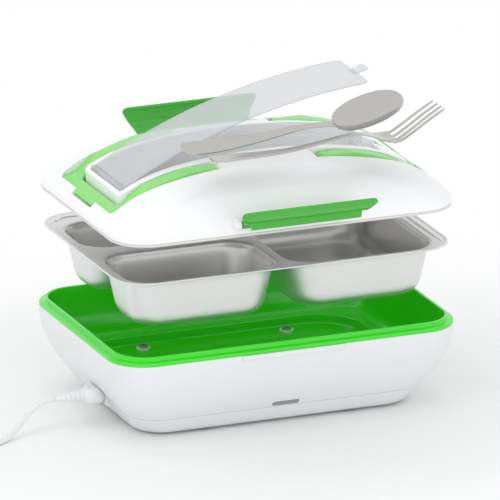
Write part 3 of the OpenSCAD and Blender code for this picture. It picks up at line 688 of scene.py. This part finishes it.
def lead_route():
    """Middle line of the mains lead: the route down to the table, a run into
    the coil, two turns on the table, two on them and two on those, and the
    end that leaves the outer turn for the plug."""
    route = smooth_line([
        [-139.6, -15, 19.2], [-145, -15, 18.8], [-151, -16, 17], [-157, -18, 13.9], [-163, -21, 10],
        [-169, -25, 6.2], [-175, -29, 3.2], [-181, -33, 2], [-188, -37.5, LEAD_Z], [-196, -42, LEAD_Z],
        [-204, -47, LEAD_Z], [-212, -52.5, LEAD_Z], [-218.8, -57.4, LEAD_Z]], 2)
    turns, start = 6.0, -74.0
    a = np.linspace(0, turns, int(turns * 30))

    def step(at):
        s = np.clip((a - at) / 0.22 + 0.5, 0, 1)
        return s * s * (3 - 2 * s)
    radius = COIL_R - TURN_GAP * (step(1.0) - step(3.0) + step(4.0) - step(5.0))
    height = LEAD_Z + 3.55 * step(2.0) + 3.5 * step(4.0)
    turn = np.radians(start - 360 * a)
    coil = xyz(COIL_X + radius * np.cos(turn), COIL_Y + radius * np.sin(turn), height)
    lead_in = hermite(route[-1], coil[0], [-14, -10.2, 0], [-14.6, -4.2, 0], 6)
    back = turned([[22.0, 0, 7.0]], "z", PLUG_TURN)[0] + np.array([PLUG_X, PLUG_Y, 0])
    lead_out = hermite(coil[-1], back, [-26 * 0.96, -26 * 0.28, 0], [-26, -9.5, 0], 8)
    return np.vstack([route, lead_in[1:-1], coil, lead_out[1:]])


def hermite(p, q, slope_p, slope_q, n):
    """Cubic between two points that leaves and arrives along given slopes."""
    t = np.linspace(0, 1, n)[:, None]
    p, q, a, b = (np.asarray(v, float) for v in (p, q, slope_p, slope_q))
    return ((2 * t ** 3 - 3 * t ** 2 + 1) * p + (t ** 3 - 2 * t ** 2 + t) * a
            + (3 * t ** 2 - 2 * t ** 3) * q + (t ** 3 - t ** 2) * b)


# ---- what a user may change ----

def colour_property(name, description, default):
    """A colour the user may pick."""
    return FloatVectorProperty(name=name, description=description, default=default, size=3,
                               min=0.0, max=1.0, subtype="COLOR")


class LunchBoxColours(bpy.types.PropertyGroup):
    shell: colour_property("Shell", "Moulded plastic of the base", (0.79, 0.80, 0.815))
    lid: colour_property("Lid", "Glossy plastic of the lid", (0.90, 0.90, 0.91))
    # painted light: the liner's green is set brighter than the plastic's own, to make up for the shade that
    # the tray and lid cast into it
    liner: colour_property("Liner", "Green plastic of the liner", (0.035, 0.72, 0.006))
    # painted shade: the latches take a darker copy of the same green plastic as the liner
    latch: colour_property("Latches", "Green plastic of the two latches", (0.028, 0.40, 0.010))
    handle: colour_property("Handles", "Green plastic of the two handles", (0.24, 0.70, 0.16))
    seal: colour_property("Seal", "Silicone band under the lid", (0.72, 0.70, 0.66))
    cover: colour_property("Cover", "Frosted plastic of the cutlery cover", (0.68, 0.69, 0.71))
    tray_outside: colour_property("Tray outside", "Satin steel of the tray", (0.80, 0.80, 0.795))
    tray_inside: colour_property("Tray inside", "Polished steel of the compartments", (0.72, 0.715, 0.70))
    cutlery: colour_property("Cutlery", "Polished steel of the spoon and fork", (0.52, 0.51, 0.49))
    lead: colour_property("Lead", "Plastic of the mains lead", (0.82, 0.82, 0.83))


class LunchBoxSizes(bpy.types.PropertyGroup):
    lead_diameter: FloatProperty(
        name="Lead diameter", description="Outside diameter of the mains lead", default=0.0038,
        min=0.0034, max=0.0038, unit="LENGTH", subtype="DISTANCE")
    bead_height: FloatProperty(
        name="Bead height", description="Rise of the bead pressed into the tray's margin",
        default=0.0008, min=0.0004, max=0.0008, unit="LENGTH", subtype="DISTANCE")


def settings():
    """The sizes and colours a user has set in the panel."""
    scene = bpy.context.scene
    return scene.lunch_box_sizes, scene.lunch_box_colours


# ---- operators ----

class LUNCHBOX_OT_stage(bpy.types.Operator):
    """Pale table, soft studio light and the camera"""
    bl_idname = "lunchbox.stage"
    bl_label = "Table, light and camera"

    def execute(self, context):
        scene = context.scene
        scene.view_settings.view_transform = "Standard"
        camera = put_in_scene(bpy.data.cameras.new("camera"), "camera")
        camera.data.lens, camera.data.sensor_width = 864.0, 36.0
        camera.data.clip_end = 60.0
        turn, rise, distance = math.radians(-22.002), math.radians(17.754), 7.7995
        back = Vector((math.sin(turn) * math.cos(rise), -math.cos(turn) * math.cos(rise), math.sin(rise)))
        aim = Vector((0.002982, 0.0, 0.09865))
        camera.location = aim + back * distance
        camera.rotation_mode = "QUATERNION"
        camera.rotation_quaternion = back.to_track_quat("Z", "Y")
        scene.camera = camera

        table = Shape().grid(np.array([[[-4000, -9000, 0], [4000, -9000, 0]],
                                       [[-4000, 9000, 0], [4000, 9000, 0]]], float), around=False)
        floor = table.put("table", recalc=False)
        f = Finish("table_top")
        x, y, _ = f.axes()
        far = f.node("Math", {"operation": "SQRT"}, {
            0: (x + 20.0) * (x + 20.0) * 0.55 + (y + 10.0) * (y + 10.0)})
        fade = f.node("MapRange", {"interpolation_type": "SMOOTHSTEP"}, {
            "Value": far.outputs[0], "From Min": 160.0, "From Max": 360.0})
        matt = f.node("BsdfPrincipled", None, {
            "Base Color": f.blend(f.noise(6.0), (0.925, 0.925, 0.915, 1), (0.935, 0.935, 0.925, 1)),
            "Roughness": 0.65, "Normal": f.bump(f.noise(700.0), 0.1, 0.02), "Specular IOR Level": 0.2})
        white = f.node("Emission", None, {"Color": (1, 1, 1, 1), "Strength": 1.0})
        floor.data.materials.append(f.surface(f.node("MixShader", None, {
            0: fade.outputs[0], 1: matt.outputs[0], 2: white.outputs[0]})))

        # lit by a faintly blue room, seen and mirrored as plain white
        f = Finish("studio", "worlds")
        rays = f.node("LightPath").outputs
        straight = f.node("Math", {"operation": "MAXIMUM"}, {
            0: rays["Is Camera Ray"], 1: rays["Is Transmission Ray"]})
        seen = f.node("Math", {"operation": "MAXIMUM"}, {0: straight.outputs[0], 1: rays["Is Glossy Ray"]})
        room = f.node("Background", None, {"Color": (0.97, 0.985, 1.0, 1), "Strength": 0.86})
        plain = f.node("Background", None, {"Color": (1, 1, 1, 1), "Strength": 1.0})
        scene.world = f.surface(f.node("MixShader", None, {
            0: seen.outputs[0], 1: room.outputs[0], 2: plain.outputs[0]}), "OutputWorld")

        for name, place, aim, size, watts in (
                ("overhead", (-0.2, 0.1, 1.3), (0, 0, 0.1), 1.1, 3.0),
                ("left", (-1.25, -0.25, 0.5), (0, 0, 0.08), 0.9, 1.8),
                ("front", (0.1, -1.5, 0.35), (0, 0, 0.08), 0.9, 4.0)):
            lamp = bpy.data.lights.new(name, "AREA")
            lamp.shape, lamp.size, lamp.energy = "SQUARE", size, watts
            holder = put_in_scene(lamp, name)
            holder.location = place
            holder.visible_glossy = False
            holder.rotation_mode = "QUATERNION"
            holder.rotation_quaternion = (Vector(place) - Vector(aim)).to_track_quat("Z", "Y")
        return {"FINISHED"}


class LUNCHBOX_OT_lead(bpy.types.Operator):
    """Mains lead with its connector, coil, tie and plug"""
    bl_idname = "lunchbox.lead"
    bl_label = "Mains lead"

    def execute(self, context):
        sizes, colours = settings()
        soft = moulded("lead_plastic", colours.lead, 0.45, grain=0.2)
        path = lead_route()
        half = sizes.lead_diameter / MM / 2
        cord = Shape().solid(tube_rows(path, half, half, 12)).put("cord")
        finish_piece(cord, soft, "base", ("cord_tube", "cord_coil"), 60)

        t = np.array([0, 0.125, 0.25, 0.375])
        pulled_in = 1.6 * (1 - np.sqrt(1 - (1 - t) ** 2))
        nose = rounded_rings(10 - pulled_in, 18 - pulled_in, 4.0, CONNECTOR_X - 1.2 * t, 8)
        body = rounded_rings([10, 10, 9.9, 9.6, 9.0, 8.6], [18, 18, 17.6, 15.4, 11.4, 9.4],
                             [4.2, 4.2, 4.4, 4.5, 4.3, 4.2],
                             CONNECTOR_X - np.array([1.8, 4.5, 6.5, 8.4, 10, 11.0]), 8)
        rows = np.concatenate([nose, body])
        shape = Shape().solid(xyz(rows[..., 2], rows[..., 1] + INLET_Y, rows[..., 0] + INLET_Z))
        sleeve = [[0.1, 0], [3.6, 0], [3.8, 0.3], [3.8, 7.6], [3.5, 8], [0.1, 8]]
        for s in (-1, 1):
            for k in range(3):
                rib = rounded_rings([3.0, 3.4, 3.0], [1.0, 1.2, 1.0], 0.45, [s * 4.6, s * 5.0, s * 5.3], 3)
                shape.solid(xyz(CONNECTOR_X - 4.1 - 2.0 * k + rib[..., 1], INLET_Y + rib[..., 0] * 1.6,
                                INLET_Z + rib[..., 2]))
        for s in (-1, 1):
            shape.solid(barrel_rows(sleeve, 24, (CONNECTOR_X, INLET_Y + s * 4.1, INLET_Z), "y"))
        connector = shape.put("connector")
        finish_piece(connector, soft, "base", ("lead_connector",), 40)
        dress_node("strain_relief", soft)

        along = np.array([0, 0.5, 1.4, 4, 9, 14, 18, 20.5, 21.6, 22])
        wide = np.array([22.5, 24.8, 25.8, 26, 26, 24.6, 20.5, 14.5, 9, 5.4])
        high = np.array([10.8, 12.8, 13.6, 14, 13.8, 13, 11.4, 9.4, 7.4, 5.2])
        plug_rows = rounded_rings(high, wide, high / 2 - 0.6, along, 10)
        plug_rows = turned(xyz(plug_rows[..., 2], plug_rows[..., 1], plug_rows[..., 0] + 7), "z", PLUG_TURN)
        plug = Shape().solid(plug_rows + np.array([PLUG_X, PLUG_Y, 0])).put("plug")
        finish_piece(plug, soft, "base", ("mains_plug",), 40)
        dress_node("plug_pins", polished_steel("nickel", (0.72, 0.71, 0.68), 0.28, (6, 1, 1)))
        dress_node("cord_tie", moulded("tie", (0.03, 0.03, 0.032), 0.5))
        return {"FINISHED"}


class LUNCHBOX_OT_base(bpy.types.Operator):
    """White outer body of the base with its catches and openings"""
    bl_idname = "lunchbox.base"
    bl_label = "Base body"

    def execute(self, context):
        _, colours = settings()
        white = moulded("shell_plastic", colours.shell, 0.33, coat=0.15)
        z = np.concatenate([[SEAM_Z, SEAM_Z + 0.12, SEAM_Z + 0.45], np.linspace(SEAM_Z + 1.2, 56.0, 30),
                            [FLANGE_Z]])
        extra = np.concatenate([[0.55, 0.12, 0.0], np.zeros(30), [0.25]])
        inner = np.linspace(FLANGE_Z, SEAM_Z, 12)
        rows = np.concatenate([base_rows(z, extra), base_rows(inner, np.full(12, WALL))])
        body = Shape().grid(rows, along=True).put("base_body")
        u, v = slot_outline(18.6, 3.2, 1.59)
        lens_slot = np.stack([xyz(u, y, v + LENS_Z) for y in (-90.0, -60.0)])
        u, v = slot_outline(24.6, 11.0, 2.2)
        inlet = np.stack([xyz(x, u + INLET_Y, v + INLET_Z) for x in (-120.0, -90.0)])
        cut(body, [Shape().solid(lens_slot), Shape().solid(inlet)])
        soften(body, 0.5, 50)
        shape = Shape()
        catch = np.array([[81.8, 52.8], [84.6, 52.8], [85.1, 53.3], [85.1, 55.9], [84.8, 56.38],
                          [81.8, 56.38]])
        for s in (-1, 1):
            shape.prism(catch * [s, 1], "x", -36, 36, 0.35)
        body = join([body, shape.put("catches")], "base_body")
        finish_piece(body, white, "base", ("base_shell",), 35)

        z = np.array([1.5, 1.55, 1.9, 2.6, 3.7, 5.2, 7.2, 9.4, 11.6, 12.9, 13.25, SEAM_Z - 0.08])
        extra = np.array([5.0, 3.2, 1.55, 0.7, 0.25, 0.05, 0, 0, 0, 0, 0.1, 0.5])
        pan = np.concatenate([base_rows(z, extra), base_rows([SEAM_Z - 0.08, 8, 4.4], [WALL, WALL, WALL])])
        floor = Shape().solid(pan).put("base_pan")
        hole = lathe_rows([[3.9, -1], [3.9, 6]], 40)
        post = lathe_rows([[4.1, 1.8], [4.1, 19.4], [1.5, 19.4], [1.5, 7], [3.6, 7], [3.6, 1.8]], 40)
        screws = [np.array([sx * SCREW_X, sy * SCREW_Y, 0]) for sx in (-1, 1) for sy in (-1, 1)]
        cut(floor, [Shape().solid(hole + place) for place in screws])
        posts = Shape()
        for place in screws:
            posts.grid(post + place, along=True)
        floor = join([floor, posts.put("posts")], "base_pan")
        finish_piece(floor, white, "base", ("bottom_cover",), 35)
        dress_node("rubber_feet", moulded("foot_rubber", (0.52, 0.52, 0.51), 0.8, grain=0.8))
        return {"FINISHED"}


class LUNCHBOX_OT_liner(bpy.types.Operator):
    """Green liner with its double ridge, ledge and well, and its screws"""
    bl_idname = "lunchbox.liner"
    bl_label = "Liner"

    def execute(self, context):
        _, colours = settings()
        # painted light: the liner's green is brighter than the latches' copy of the same plastic, standing in
        # for the light that the tray and lid shade off
        green = moulded("liner_plastic_painted_light", colours.liner, 0.24, coat=0.6, grain=0.15)
        # inset from the rim and height, from the well's wall out over both ridges
        wall = smooth_line([[20.0, 27.6], [17.4, 27.8], [14.5, 29.0], [11.6, 32.6], [9.8, 37], [8.4, 42],
                            [7.0, 50], [6.1, 58]], 5)
        top = np.vstack([arc(5.15, 61.1, 0.7, 0, 90, 5), arc(4.7, 61.1, 0.7, 90, 180, 5)])
        outer = np.array([[4.0, 60.6], [3.95, 59.5], [3.75, 59.12], [3.4, 59.0], [1.3, 59.0]])
        edge = np.array([[0.75, 58.92], [0.3, 58.6], [0.05, 58.1], [0.0, 57.6], [0.0, 56.9], [0.15, 56.5],
                         [0.5, 56.4]])
        under = np.array([[4.4, 56.4], [5, 50], [7, 41], [9.2, 34.5], [12.4, 28.5], [20.5, 25.5]])
        profile = np.vstack([wall, top, outer, edge, under])
        inset, z = profile[:, 0], profile[:, 1]
        length, width, radius = RIM
        # corners share a centre out at the rim and keep their radius in the well
        blend = np.clip((inset - 4.2) / 3.0, 0, 1)
        radius = (radius - inset) * (1 - blend) + (radius - 4 - inset / 12) * blend
        rows = rounded_rings(length - 2 * inset, width - 2 * inset, radius, z, 16)
        well = np.array([[182, 21.5], [187, 21.7], [188.8, 22.4], [189.4, 23.6], [190, 26.6], [190.3, 27.1],
                         [191.2, 27.5]])
        well_rows = rounded_rings(well[:, 0], well[:, 0] - 64, 30 - (190 - well[:, 0]) / 2, well[:, 1], 16)
        low = rounded_rings([194.0, 194.0], [130.0, 130.0], [30, 30], [25.5, 19.6], 16)
        liner = Shape().solid(np.concatenate([well_rows, rows, low])).put("liner")
        finish_piece(liner, green, "base", ("inner_liner",), 30)
        dress_node("screw_washers", moulded("washer", (0.85, 0.85, 0.85), 0.5))
        dress_node("liner_screws", polished_steel("plated", (0.45, 0.44, 0.42), 0.35, (3, 3, 3)))
        return {"FINISHED"}


class LUNCHBOX_OT_fittings(bpy.types.Operator):
    """Indicator, inlet socket and the heating parts under the liner"""
    bl_idname = "lunchbox.fittings"
    bl_label = "Indicator, inlet and heater"

    def execute(self, context):
        rows = []
        for y, wide, high in ((-69.2, 17.6, 2.2), (-69.4, 18.0, 2.6), (-66.0, 18.0, 2.6), (-65.6, 17.8, 2.4)):
            u, v = slot_outline(wide, high, high / 2 - 0.02)
            rows.append(xyz(u, y, v + LENS_Z))
        lens = Shape().solid(np.stack(rows)).put("indicator")
        smoked = moulded("smoked_lens", (0.25, 0.25, 0.26), 0.3, coat=0.3)
        finish_piece(lens, smoked, "base", ("indicator_lens",), 40)
        white = moulded("socket_plastic", (0.78, 0.78, 0.79), 0.4)
        plated = polished_steel("terminal", (0.7, 0.68, 0.62), 0.3, (2, 2, 2))
        ceramic = moulded("ceramic", (0.62, 0.60, 0.54), 0.7, grain=0.7)
        for name, material in (
                ("inlet_socket", white), ("inlet_pins", plated), ("heater_terminals", plated),
                ("heat_plate", polished_steel("rolled_sheet", (0.78, 0.78, 0.79), 0.38)),
                ("heater_element", ceramic), ("thermostat", ceramic), ("thermal_fuse", ceramic),
                ("indicator_lamp", moulded("neon", (0.5, 0.06, 0.03), 0.4)),
                ("internal_wires", moulded("wire_sleeve", (0.62, 0.48, 0.10), 0.5))):
            dress_node(name, material)
        return {"FINISHED"}


class LUNCHBOX_OT_tray(bpy.types.Operator):
    """Pressed steel tray with three compartments, rolled rim and bead"""
    bl_idname = "lunchbox.tray"
    bl_label = "Food tray"

    def execute(self, context):
        sizes, colours = settings()
        steel = tray_steel(colours)
        shape = Shape()
        rim = np.array([[2.9, 1.0], [2.3, 1.12], [1.7, 1.42], [1.0, 1.6], [0.4, 1.35], [0.05, 0.85],
                        [0.05, 0.5], [0.3, 0.25], [0.75, 0.2]])
        rim_rows = inset_rings(TRAY, rim[:, 0], rim[:, 1] + TRAY_REST)
        bowls = [bowl_rows(b) for b in BOWLS]
        work = bmesh.new()
        loops = []
        for ring in [rim_rows[0]] + [rows[0] for rows in bowls]:
            points = [work.verts.new(tuple(p * MM)) for p in ring]
            loops += [work.edges.new((a, b)) for a, b in zip(points, points[1:] + points[:1])]
        bmesh.ops.triangle_fill(work, use_beauty=True, use_dissolve=False, edges=loops)
        plate = bpy.data.meshes.new("plate")
        work.to_mesh(plate)
        work.free()
        shape.grid(rim_rows)
        for rows in bowls:
            shape.grid(rows, cap_high=True)
        sheet = join([shape.put("sheet", recalc=False), put_in_scene(plate, "plate")], "tray")
        work = bmesh.new()
        work.from_mesh(sheet.data)
        bmesh.ops.remove_doubles(work, verts=work.verts, dist=2e-6)
        bmesh.ops.recalc_face_normals(work, faces=work.faces)
        work.faces.ensure_lookup_table()
        # the largest face of the margin tells which way the sheet faces
        margin = [face for face in work.faces if face.calc_center_median().z > (TRAY_REST + 0.9) * MM]
        if max(margin, key=lambda face: face.calc_area()).normal.z < 0:
            bmesh.ops.reverse_faces(work, faces=work.faces)
        work.to_mesh(sheet.data)
        work.free()
        wall = sheet.modifiers.new("sheet metal", "SOLIDIFY")
        wall.thickness, wall.offset = 0.7 * MM, -1.0
        settle(sheet)
        corners, normals = (vertex_values(sheet.data, key) for key in ("co", "normal"))
        within = np.zeros(len(corners), bool)
        for bx, by, length, width, _ in BOWLS:
            # a vertex is inside when its face looks to the middle of its compartment
            away = corners[:, :2] - np.array([bx, by]) * MM
            toward = normals[:, 2] * 0.05 - (away * normals[:, :2]).sum(axis=1)
            near = (np.abs(away) < (np.array([length, width]) / 2 + 0.3) * MM).all(axis=1)
            within |= near & (toward > 0) & (corners[:, 2] < (TRAY_REST + 0.4) * MM)
        mark = sheet.data.attributes.new("inside", "FLOAT", "POINT")
        mark.data.foreach_set("value", within.astype(np.float32))
        finish_piece(sheet, steel, "tray", ("food_tray",), 50)

        corner = arc(98.5, 62, 12, 0, 90, 9)
        line = smooth_line(np.vstack([
            [[110.6, -70], [110.6, -40], [110.6, 0], [110.6, 40]], corner,
            [[60, 73.9], [0, 73.9], [-60, 73.9], [-92, 73.9]], arc(-96, 62.5, 11.5, 90, 160, 7)]), 4)
        path = xyz(line[:, 0], line[:, 1], TRAY_REST + 0.95)
        taper = np.clip(np.minimum(np.arange(len(path)), np.arange(len(path))[::-1]) / 6.0, 0, 1)
        swell = np.sqrt(1 - (1 - taper) ** 2 + 1e-3)
        rings = tube_rows(path, 2.3 * swell, sizes.bead_height / MM * swell, 16)
        bead = Shape().solid(rings).put("tray_bead")
        finish_piece(bead, steel, "tray", (), 60)
        return {"FINISHED"}


class LUNCHBOX_OT_lid(bpy.types.Operator):
    """Domed lid with its cutlery trough, handle pockets, lugs and seal"""
    bl_idname = "lunchbox.lid"
    bl_label = "Lid"

    def execute(self, context):
        _, colours = settings()
        glossy = moulded("lid_plastic", colours.lid, 0.22, coat=0.35, grain=0.12)
        low = LID_REST
        t = np.concatenate([np.linspace(0, 0.9, 40) ** 1.6, 1 - np.linspace(0.155, 0.012, 16) ** 1.25])
        t = np.unique(np.round(t, 5))
        skirt = inset_rings(LID, [0.25, 0, 0], low + np.array([1.9, 2.2, 3.6]))
        hollow = inset_rings(LID, [1.4, 1.4], low + np.array([6.9, 1.9]))
        dome = Shape().solid(np.concatenate([hollow, skirt, dome_rows(t)])).put("lid_dome")
        cut(dome, lid_cuts(low))
        lugs = Shape()
        lug = np.vstack([[[82.2, 5.0], [LATCH_Y, 6.9]], arc(LATCH_Y, LATCH_Z, 2.6, -80, 90, 9),
                         [[79.2, 12.7]]])
        for front in (-1, 1):
            for x in (-LUG_X, LUG_X):
                lugs.prism(lug * [front, 1] + [0, low], "x", x - 1.8, x + 1.8, 0.35)
        lid = join([dome, lugs.put("lugs")], "lid_dome")
        finish_piece(lid, glossy, "lid", ("lid_shell",), 38)

        band = np.array([[0.5, 0.0], [0.15, 0.12], [0.0, 0.45], [0.0, 1.35], [0.15, 1.68], [0.5, 1.8],
                         [1.0, 1.8], [1.3, 1.6], [1.4, 1.3], [1.4, 0.5], [1.3, 0.15], [1.0, 0.0]])
        seal = Shape().grid(inset_rings(LID, band[:, 0], low + band[:, 1]), along=True).put("seal")
        silicone = moulded("silicone", colours.seal, 0.5, grain=0.3)
        finish_piece(seal, silicone, "lid", ("lid_seal",), 50)
        dress_node("lid_inner_panel", glossy)
        dress_node("panel_gasket", silicone)
        pins = polished_steel("pin_steel", (0.6, 0.6, 0.6), 0.3, (1, 1, 1))
        dress_node("handle_pins", pins)
        dress_node("latch_pins", pins)
        return {"FINISHED"}


class LUNCHBOX_OT_handles(bpy.types.Operator):
    """Two green bow handles, hinged on the dome"""
    bl_idname = "lunchbox.handles"
    bl_label = "Handles"

    def execute(self, context):
        _, colours = settings()
        green = moulded("handle_plastic", colours.handle, 0.3, coat=0.15, grain=0.2)
        barrel = [[2.2, -6.2], [2.5, -6.05], [BARREL_R, -5.7], [BARREL_R, 5.7], [2.5, 6.05], [2.2, 6.2]]
        for side, name in ((1, "right_handle"), (-1, "left_handle")):
            flip = np.array([side, 1, 1])
            shape = Shape().solid(bow_rows() * flip)
            for y in (-BARREL_Y, BARREL_Y):
                centre = (HANDLE_HINGE_X, y, LID_REST + HANDLE_HINGE_Z)
                shape.solid(barrel_rows(barrel, 32, centre) * flip)
            handle = shape.put(name + "_bow")
            finish_piece(handle, green, name, (name,), 40)
        return {"FINISHED"}


class LUNCHBOX_OT_cover(bpy.types.Operator):
    """Frosted cover of the cutlery trough, swung up on its hinge"""
    bl_idname = "lunchbox.cover"
    bl_label = "Cutlery cover"

    def execute(self, context):
        _, colours = settings()
        end, straight = COVER_FREE, COVER_FREE - COVER_CORNER
        x = np.concatenate([COVER_START + np.array([0.0, 0.3, 0.8]),
                            np.linspace(COVER_START + 3, straight, 50),
                            straight + COVER_CORNER * np.sin(np.linspace(0.15, math.pi / 2 - 0.02, 9))])
        half = COVER_W / 2 - corner_inset(x, straight)
        near = np.clip(np.minimum(x - COVER_START, end - x) + 0.25, 0, 0.8) / 0.8
        thick = COVER_T * np.sqrt(1 - (1 - near) ** 2)
        a = np.radians(np.linspace(-90, 90, 9))[None, :]
        r = thick[:, None] / 2
        middle = (cover_low(x) + COVER_T / 2 + LID_REST)[:, None]
        right = xyz(x[:, None], half[:, None] - 0.9 + 0.9 * np.cos(a), middle + r * np.sin(a))
        left = right[:, ::-1] * np.array([1, -1, 1])
        shape = Shape().solid(np.concatenate([right, left], axis=1), place=swung_cover)
        tab_x = np.array([end - 1.5, end + 1.5, end + 4, end + 6, end + 7.6, end + 8.3])
        tab_half = np.array([4.6, 4.4, 4.5, 5.2, 5.3, 4.6])
        tab = rounded_rings(2 * tab_half, [1.8, 1.7, 1.6, 1.6, 1.5, 1.0], 0.45, tab_x, 4)
        tab = xyz(tab[..., 2], tab[..., 0], tab[..., 1] + LID_REST + COVER_END_Z - 0.9)
        shape.solid(tab, place=swung_cover)
        barrel = [[1.0, -28.4], [1.2, -28.2], [1.2, -26], [1.9, -26], [2.1, -25.8], [2.1, 25.8], [1.9, 26],
                  [1.2, 26], [1.2, 28.2], [1.0, 28.4]]
        centre = (COVER_HINGE_X, 0, LID_REST + COVER_HINGE_Z)
        shape.solid(barrel_rows(barrel, 28, centre), place=swung_cover)
        cover = shape.put("cover_sheet")
        finish_piece(cover, frosted("frosted_plastic", colours.cover, 0.52), "cutlery_cover",
                     ("cutlery_cover",), 50)
        return {"FINISHED"}


class LUNCHBOX_OT_latches(bpy.types.Operator):
    """Front and rear latch, each swung open"""
    bl_idname = "lunchbox.latches"
    bl_label = "Latches"

    def execute(self, context):
        _, colours = settings()
        # painted shade: the latches' green is a darker copy of the liner's plastic
        green = moulded("latch_plastic_painted_shade", colours.latch, 0.16, coat=0.7, grain=0.1)
        for name, angle, front in (("front_latch", FRONT_LATCH_OPEN, True),
                                   ("rear_latch", REAR_LATCH_OPEN, False)):
            place = latch_place(angle, front)
            shape = Shape().prism(LATCH_BAR, "x", -LATCH_BAR_W / 2, LATCH_BAR_W / 2, 0.4, place=place)
            shape.solid(lip_rows(), place=place)
            shape.solid(oval_rows(), place=place)
            latch = shape.put(name + "_bar")
            finish_piece(latch, green, name, (name,), 35)
        return {"FINISHED"}


class LUNCHBOX_OT_cutlery(bpy.types.Operator):
    """Spoon and fork in polished steel"""
    bl_idname = "lunchbox.cutlery"
    bl_label = "Spoon and fork"

    def execute(self, context):
        _, colours = settings()
        steel = polished_steel("cutlery_metal", colours.cutlery, 0.19, (1, 10, 10), 0.06)
        # stations of x, height, half width and dish
        stem = smooth_line([
            [-69, 194.2, 3.4, 0.2], [-68, 194.15, 6.4, 0.3], [-64, 194.0, 7.9, 0.35], [-55, 193.8, 7.8, 0.4],
            [-40, 194, 7, 0.4], [-15, 196.4, 5, 0.3], [4, 199.2, 3.6, 0.3], [17, 200.3, 3, 0.3],
            [28, 200.2, 2.8, 0.3], [33, 199.7, 3.0, 0.5]], 6)
        a = np.radians(np.linspace(172, 4, 40))
        along, tilt = 24 * (1 + np.cos(a)), math.radians(18.5)
        bowl = np.stack([35 + along * math.cos(tilt), NECK_Z + along * math.sin(tilt), 17 * np.sin(a) ** 0.8,
                         6.8 * np.sin(a) ** 1.5], axis=1)
        bowl = bowl[bowl[:, 2] > 3.2]
        tip = bowl[-1:] + [[0.5, 0.25, -1.6, -0.1]]
        rows = strip_rows(np.vstack([stem[:-2], bowl, tip]), 17) + np.array([0, SPOON_Y, 0])
        spoon = Shape().solid(turned(rows, "x", 15, (0, SPOON_Y, NECK_Z))).put("spoon_metal")
        finish_piece(spoon, steel, "spoon", ("spoon",), 60)

        stem = smooth_line([
            [-48, 184.2, 3.4, 0.2], [-47, 184.2, 6.0, 0.2], [-42, 184.0, 7.4, 0.3], [-34, 183.9, 7.4, 0.3],
            [-12, 183.7, 6, 0.3], [8, 184.4, 4.6, 0.2], [29, 187, 3.4, 0.2], [42, 189, 3, 0.2],
            [53, 189.6, 3.1, 0.2], [61, 188.4, 4.6, 0.4], [67, 186.3, 8.4, 0.9], [73, 184.9, 11.4, 1.2],
            [79, 185.0, 12, 1.2]], 5)
        shape = Shape().solid(strip_rows(stem, 15) + np.array([0, FORK_Y, 0]))
        for k in (-1.5, -0.5, 0.5, 1.5):
            lift = 1.2 * (1 - (k / 1.9) ** 2)
            tine = smooth_line([
                [76, 184.6 - lift, 1.2, 0], [80.5, 185.3 - lift, 1.5, 0], [85, 187.4 - lift * 0.8, 1.5, 0],
                [92, 191.5 - lift * 0.5, 1.5, 0], [100, 196.4 - lift * 0.2, 1.4, 0], [107, 200.4, 1.2, 0],
                [110.4, 202.3, 0.8, 0], [111, 202.6, 0.4, 0]], 4)
            shape.solid(strip_rows(tine, 7) + np.array([-0.6 * abs(k), FORK_Y + TINE_PITCH * k, 0]))
        fork = shape.put("fork_metal")
        finish_piece(fork, steel, "fork", ("fork",), 50)
        return {"FINISHED"}


class LUNCHBOX_PT_panel(bpy.types.Panel):
    """Lists the operators and what a user may change"""
    bl_label = "Lunch box"
    bl_idname = "LUNCHBOX_PT_panel"
    bl_space_type = "VIEW_3D"
    bl_region_type = "UI"
    bl_category = "Lunch box"

    def draw(self, context):
        for group in (context.scene.lunch_box_sizes, context.scene.lunch_box_colours):
            for key in group.__annotations__:
                self.layout.prop(group, key)
        for operator in OPERATORS:
            self.layout.operator(operator.bl_idname)


OPERATORS = (LUNCHBOX_OT_stage, LUNCHBOX_OT_lead, LUNCHBOX_OT_base, LUNCHBOX_OT_liner, LUNCHBOX_OT_fittings,
             LUNCHBOX_OT_tray, LUNCHBOX_OT_lid, LUNCHBOX_OT_handles, LUNCHBOX_OT_cover, LUNCHBOX_OT_latches,
             LUNCHBOX_OT_cutlery)
CLASSES = (LunchBoxColours, LunchBoxSizes, LUNCHBOX_PT_panel) + OPERATORS


def register():
    for cls in CLASSES:
        bpy.utils.register_class(cls)
    bpy.types.Scene.lunch_box_sizes = PointerProperty(type=LunchBoxSizes)
    bpy.types.Scene.lunch_box_colours = PointerProperty(type=LunchBoxColours)


def unregister():
    del bpy.types.Scene.lunch_box_sizes
    del bpy.types.Scene.lunch_box_colours
    for cls in reversed(CLASSES):
        bpy.utils.unregister_class(cls)


def main():
    register()
    for operator in OPERATORS:
        group, name = operator.bl_idname.split(".")
        getattr(getattr(bpy.ops, group), name)()


if __name__ == "__main__":
    main()
